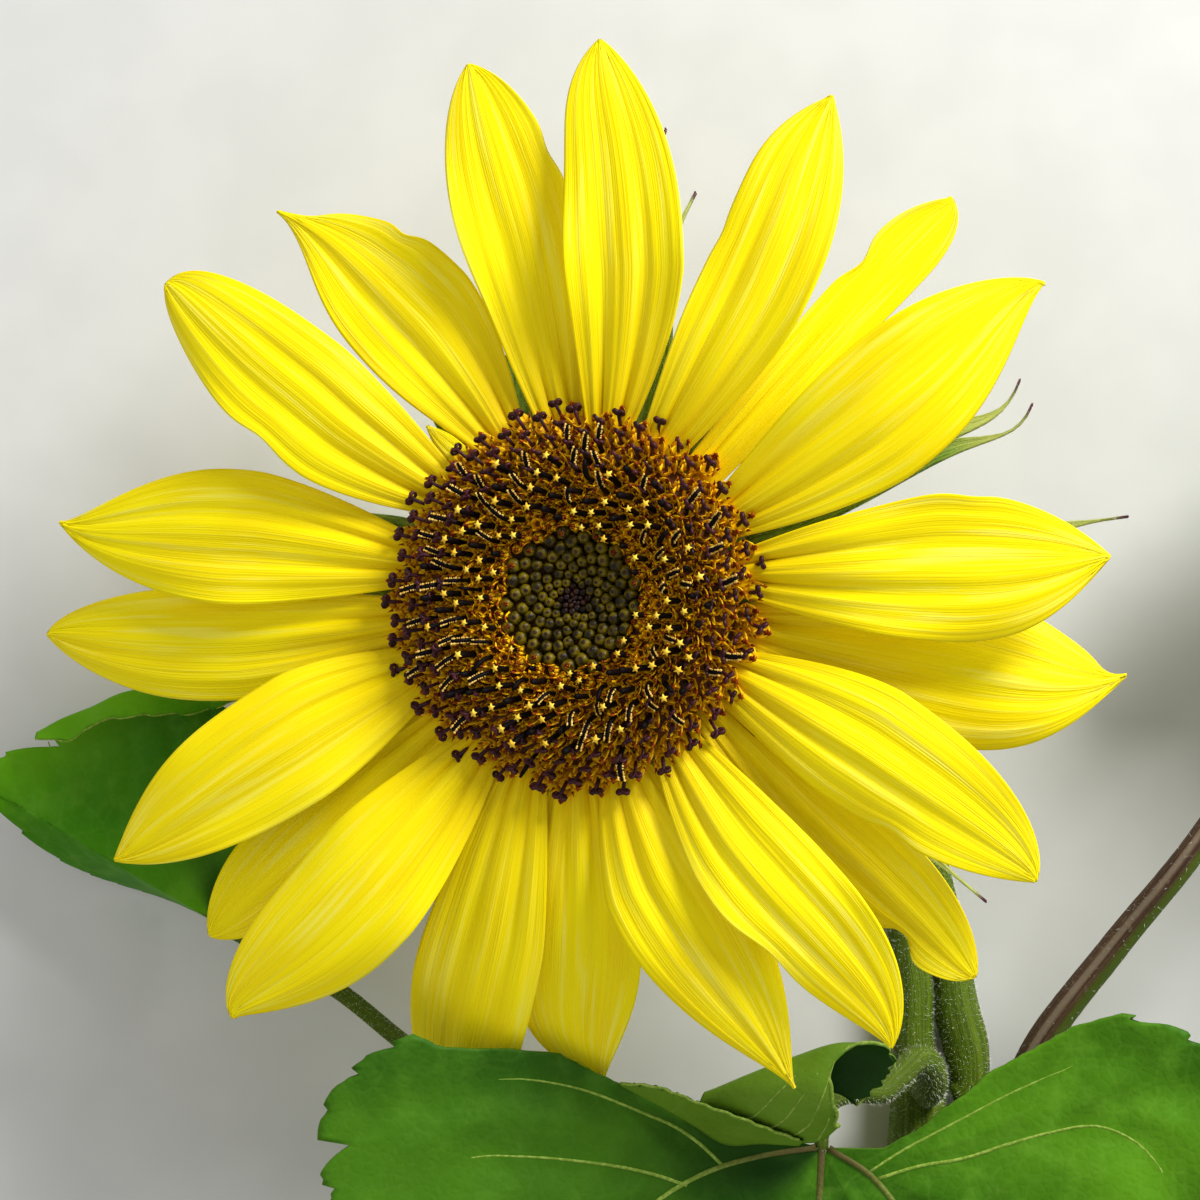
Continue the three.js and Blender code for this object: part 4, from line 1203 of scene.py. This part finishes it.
def leaf_veins(leaf, marked):
    """Midrib and side veins as (line of along and across, radius at its start and end)."""
    length = leaf["length"]
    scale = length / VEINED_LENGTH
    midrib = np.array([[0, 0], [length * 0.5, 0.4], [length * 0.97, 0]])
    veins = [(midrib, MIDRIB_RADII[0] * scale, MIDRIB_RADII[1] * scale)]
    veins += [(np.array(line, float), start, end) for line, start, end in marked]
    # Side veins leave the midrib between these shares of it, in so many pairs.
    first, last, pairs = (0.3, 0.84, 6) if marked else (0.02, 0.84, 8)
    widest = math.radians(42 if marked else 84)
    for half in (0, 1):
        for step in range(pairs):
            share = (step + 0.3 * half) / pairs
            place = first + (last - first) * share
            angle = widest * (1 - share) ** 1.15 + math.radians(3)
            line = side_vein(leaf, half, length * place, angle)
            veins.append((line, SIDE_VEIN_RADII[0] * scale, SIDE_VEIN_RADII[1]))
    return veins


def vein_line(line):
    padded = np.concatenate([line, np.zeros((len(line), 2))], 1)
    return smooth_line(padded, VEIN_STEPS)[0][:, :2]


def nearest(along, across, lines):
    """Distance from grid points to the nearest point of the vein lines."""
    gaps = np.full(along.shape, np.inf)
    for forward, aside in np.concatenate(lines):
        gaps = np.minimum(gaps, (along - forward) ** 2 + (across - aside) ** 2)
    return np.sqrt(gaps)


def above_ground(height):
    """Keeps what would dip under the ground just above it."""
    span = GROUND_MARGIN - GROUND_GAP
    pressed = GROUND_GAP + span * np.exp(np.minimum(height - GROUND_MARGIN, 0) / span)
    return np.where(height < GROUND_MARGIN, pressed, height)


def leaf_lift(leaf, along, across, lines):
    """The blade bulges between its veins and waves towards its margin."""
    gap = nearest(along, across, lines)
    scale = leaf["length"] / VEINED_LENGTH
    quilt = QUILT_HEIGHT * scale * (1 - np.exp(-((gap / (QUILT_REACH * scale)) ** 2)))
    out = np.hypot(along * 0.5, across) / max(leaf["halves"])
    wave = WAVE_HEIGHT * scale * np.sin(along / (WAVE_LENGTH * scale) + 2.0 * np.sign(across))
    return quilt + wave * np.minimum(out, 1.2) ** 3


def margin_notch(leaf, half, angle, rng):
    """How deep the margin is cut in at an angle from the heading. Teeth point forward: each rises slowly from
    behind and ends in a step. No coarse one stands beside a large one that is given."""
    back = leaf["backs"][half]
    count = leaf["teeth"]
    degrees = np.degrees(angle)
    places = back * (np.arange(count) + rng.uniform(-0.2, 0.2, count)) / count
    small = leaf["length"] * TOOTH_DEPTH
    rows = [[place, small * rng.uniform(0.6, 1.3), 0.95 * back / count] for place in places]
    large = [row[1:] for row in leaf["large_teeth"] if row[0] == half]
    rows += large
    wide = back / COARSE_TEETH
    for place in np.arange(0.8, COARSE_TEETH) * wide:
        beside = any(abs(place - row[0]) <= wide for row in large)
        if not beside and place < (COARSE_UP_TO if large else back):
            rows.append([place, COARSE_DEPTH * small * rng.uniform(0.6, 1.1), 0.8 * wide])
    notch = 0 * angle
    for place, depth, spread in rows:
        behind = place - degrees
        notch = notch + depth * np.clip(1 - behind / spread, 0, 1) ** 1.6 * (behind > 0)
    return notch


def make_leaf(name, finish, vein):
    """A blade that fans out from its base, the left half of its heading first, and its veins in one piece."""
    leaf = LEAVES[name]
    veins = leaf_veins(leaf, LOW_LEAF_VEINS if name == "leaf_low" else [])
    lines = [vein_line(line) for line, _, _ in veins]
    t, s = grid(*LEAF_GRID)
    rng = np.random.default_rng(len(name))
    halves = []
    for half in (0, 1):
        # Columns spread from the midrib, and the last of them follow the rear edge.
        share = np.abs(s) ** LEAF_FAN
        edge = np.interp(t, *np.array(leaf["edges"][half]).T)
        angle = math.radians(leaf["backs"][half]) * share * (1 + (edge - 1) * share)
        notch = margin_notch(leaf, half, angle, rng) * t**9 * smooth(np.abs(s), 0, 0.05)
        jag = JAG_ANGLE * share**6 * np.where(t > 0.3, (t * JAGS) % 1, 0) * smooth(t, 1, 0.96)
        reach = (leaf_reach(angle, leaf, half) - notch) * (LEAF_ROOT + (1 - LEAF_ROOT) * t)
        halves.append((reach * np.cos(angle - jag), reach * np.sin(angle - jag)))
    along = np.where(s > 0, halves[0][0], halves[1][0])
    across = np.where(s > 0, halves[0][1], -halves[1][1])
    middle = blade_place(leaf, along, across, leaf_lift(leaf, along, across, lines))
    points, faces = sheet(middle, leaf["thickness"])
    points[:, 2] = above_ground(points[:, 2])
    blade = np.stack([np.tile(s.ravel(), 2), np.tile(t.ravel(), 2), np.repeat([1.0, -1.0], s.size)], -1)
    make_piece(f"{name}_blade", points, faces, blade, GROUND, finish, "leaf_blade", [name])
    # A pale rim runs round the margin, from one rear edge to the other.
    rim = np.vstack([middle[8::2, 0], middle[-1], middle[:8:-2, -1]]) + [0, 0, 0.2 * leaf["thickness"]]
    pieces = [edge_line(rim, RIM_RADIUS, RIM_RADIUS, 1, RIM_STEPS)]
    for number, (plan, (_, start, end)) in enumerate(zip(lines, veins)):
        sunk = leaf_lift(leaf, plan[:, 0], plan[:, 1], lines)
        route = blade_place(leaf, plan[:, 0], plan[:, 1], sunk + 0.25 * leaf["thickness"])
        radii = np.linspace(start, end, len(route))[:, None]
        tube, quads, strip = limb(np.concatenate([route, radii], 1)[::4], VEIN_STEPS, VEIN_SIDES)
        strip[:, 0] = strip[:, 1] / max(strip[:, 1].max(), 1)
        strip[:, 2] = 1.0 if number == 0 or start > 0.5 else 0.0
        pieces.append((tube, quads, strip))
    points, faces, strips = join_lines(pieces)
    points[:, 2] = above_ground(points[:, 2])
    make_piece(f"{name}_veins", points, faces, strips, GROUND, vein, "leaf_blade")


def join_lines(pieces):
    """Joins tubes together with their attributes."""
    points, faces = join_shapes([(tube, quads) for tube, quads, _ in pieces])
    return points, faces, np.vstack([strip for _, _, strip in pieces])


def net_grid(rows, steps, cross_steps):
    """A smooth grid of points through rows of given points."""
    if len(rows[0]) > 2:
        across = [smooth_line(row, cross_steps)[0] for row in rows]
    else:
        across = [np.linspace(*row, cross_steps + 1) for row in rows]
    columns = [smooth_line(column, steps)[0] for column in np.stack(across, 1)]
    return np.stack(columns, 1)


def serrate(middle, teeth, depth, over):
    """Cuts teeth into the last row of a grid, or into its last column where over is True."""
    net = np.swapaxes(middle, 0, 1) if over else middle
    inward = net[-6] - net[-1]
    inward /= np.maximum(np.linalg.norm(inward, axis=1, keepdims=True), 1e-6)
    saw = (np.linspace(0, teeth, net.shape[1]) % 1) ** 1.5 * depth
    near = smooth(np.linspace(0, 1, net.shape[0]), 0.9, 1)
    net = net + near[:, None, None] * (inward * saw[:, None])[None]
    return np.swapaxes(net, 0, 1) if over else net


def edge_line(line, start, end, stride=3, steps=70):
    """A thin tube along a line of points, with the attribute that veins carry."""
    radii = np.linspace(start, end, len(line))[:, None]
    points, faces, strip = limb(np.concatenate([line, radii], 1)[::stride], steps, 5)
    strip[:, 0] = 0.2
    strip[:, 2] = 0
    return points, faces, strip


def make_folded(name, rows, steps, teeth, finish, shade, nodes=()):
    """A folded part of a leaf, whose underside shows. A shade of -1 paints shade on its inner side, 1 leaves
    it.
    """
    middle = net_grid(rows, *steps)
    middle = serrate(middle, teeth, FOLD_TOOTH_DEPTH, len(rows[0]) == 2)
    if len(rows[0]) > 2:
        middle = serrate(middle, MOUTH_TEETH, MOUTH_TOOTH_DEPTH, False)
    points, faces = sheet(middle[:, ::-1], FOLD_THICKNESS)
    side = np.repeat([1.0, -1.0], middle.shape[0] * middle.shape[1])
    # Its first number carries the painted shade to the leaf finish.
    blade = np.stack([np.full(len(side), shade), side * 0, side], -1)
    make_piece(name, points, faces, blade, GROUND, finish, "leaf_blade", nodes)
    return middle


def make_flap(finish, bright, vein):
    """The turned up lobe, the folded edges beside it and on the left leaf, their veins and pale rims."""
    # The turned up lobe and the folded edge beside it get painted shade on their inner side.
    lobe = make_folded("leaf_low_fold", FLAP_ROWS, FLAP_GRID, FLAP_TEETH, finish, -1.0, ["leaf_low_flap"])
    hem = make_folded("leaf_low_hem", HEM_ROWS, HEM_GRID, HEM_TEETH, finish, -1.0)
    # The left leaf's folded edge takes the lit copy of the leaf green, painted light, and no painted shade.
    left_hem = make_folded("leaf_left_hem", LEFT_HEM_ROWS, LEFT_HEM_GRID, LEFT_HEM_TEETH, bright, 1.0)
    lift = np.array([0, 0, FLAP_VEIN_LIFT])
    pieces = [
        edge_line(lobe[-1], 0.4, 0.2),
        edge_line(hem[:, -1] + lift, 0.2, 0.24),
        edge_line(left_hem[:, -1], 0.16, 0.16),
    ]
    for route in FLAP_VEINS:
        spots = [lobe[int(right * FLAP_GRID[0]), int(over * FLAP_GRID[1])] + lift for right, over in route]
        pieces.append(edge_line(smooth_line(spots, 30)[0], 0.26, 0.12))
    make_piece("leaf_fold_veins", *join_lines(pieces), GROUND, vein, "leaf_blade")


def make_stems(bristles, down):
    """Stems and leaf stalks with their hairs."""
    green = stem_finish("stem_green", (62, 82, 2), (88, 110, 12), (124, 146, 44), 0.3)
    purple = stem_finish("stalk_purple", (70, 46, 36), (98, 74, 54), (156, 140, 120), 0.22, (84, 104, 14))
    # Name, stations, steps, sides and ribs, finish and slot.
    limbs = [
        ("stem", STEM, 150, 40, 10, green, "stem_skin"),
        ("side_stem", SIDE_STEM, 60, 32, 8, green, "stem_skin"),
        ("leaf_low_stalk", LOW_LEAF_STALK, 40, 24, 5, green, "stem_skin"),
        ("leaf_right_stalk", RIGHT_LEAF_STALK, 90, 24, 6, purple, "leaf_stalk_purple"),
        ("leaf_left_stalk", LEFT_LEAF_STALK, 90, 20, 5, green, "stem_skin"),
    ]
    for number, (name, stations, steps, sides, ribs, finish, slot) in enumerate(limbs, 1):
        points, faces, blade = limb(stations, steps, sides, ribs, LIMB_RIB_DEPTH, number)
        piece = make_piece(f"{name}_skin", points, faces, blade, GROUND, finish, slot, [name])
        kind = STALK_HAIRS if finish is purple else STEM_HAIRS
        add_hairs(f"{name}_hairs", piece.data.copy(), bristles, down, kind, 10 + number)


def add_light(name, place, size, energy):
    light = bpy.data.lights.new(name, "AREA")
    light.shape = "DISK"
    light.size = size
    light.energy = energy
    lamp = bpy.data.objects.new(name, light)
    lamp.location = place
    lamp.rotation_euler = (Vector(LIGHT_AIM) - Vector(place)).to_track_quat("-Z", "Y").to_euler()
    bpy.context.scene.collection.objects.link(lamp)


def make_studio():
    """Camera straight above, a pale floor and soft light."""
    camera = bpy.data.cameras.new("camera")
    camera.lens = CAMERA_LENS
    camera.sensor_width = CAMERA_SENSOR
    eye = bpy.data.objects.new("camera", camera)
    eye.location = Vector((BLOOM_X + CAMERA_SHIFT, BLOOM_Y, CAMERA_HEIGHT)) * MM
    bpy.context.scene.collection.objects.link(eye)
    bpy.context.scene.camera = eye
    half = FLOOR_HALF
    corners = [(-half, -half, 0), (half, -half, 0), (half, half, 0), (-half, half, 0)]
    floor = bpy.data.meshes.new("floor")
    floor.from_pydata(corners, [], [(0, 1, 2, 3)])
    add_object("floor", floor, floor_finish())
    for name, row in LIGHTS.items():
        add_light(name, *row)
    bpy.context.scene.view_settings.view_transform = "Standard"
    world = bpy.data.worlds.new("studio")
    world.use_nodes = True
    backdrop = world.node_tree.nodes["Background"]
    backdrop.inputs["Color"].default_value = (1, 1, 1, 1)
    backdrop.inputs["Strength"].default_value = WORLD_STRENGTH
    bpy.context.scene.world = world


make_studio()
bristles = bristle_tree()
down = grainy_finish("white_down", (214, 220, 196), (238, 240, 226), 500.0, 0.7)
make_rays()
make_bracts(bristles, down)
make_disc(spiral_tree())
leaf_green = leaf_finish("leaf_green", (38, 84, 2), (84, 138, 16))
# A lit copy of the leaf green, brighter: painted light for the left leaf and its folded edge.
leaf_bright = leaf_finish("leaf_bright_green", (52, 116, 0), (96, 160, 4))
vein_pale = vein_finish()
for leaf_name in LEAVES:
    make_leaf(leaf_name, leaf_bright if leaf_name == "leaf_left" else leaf_green, vein_pale)
make_flap(leaf_green, leaf_bright, vein_pale)
make_stems(bristles, down)
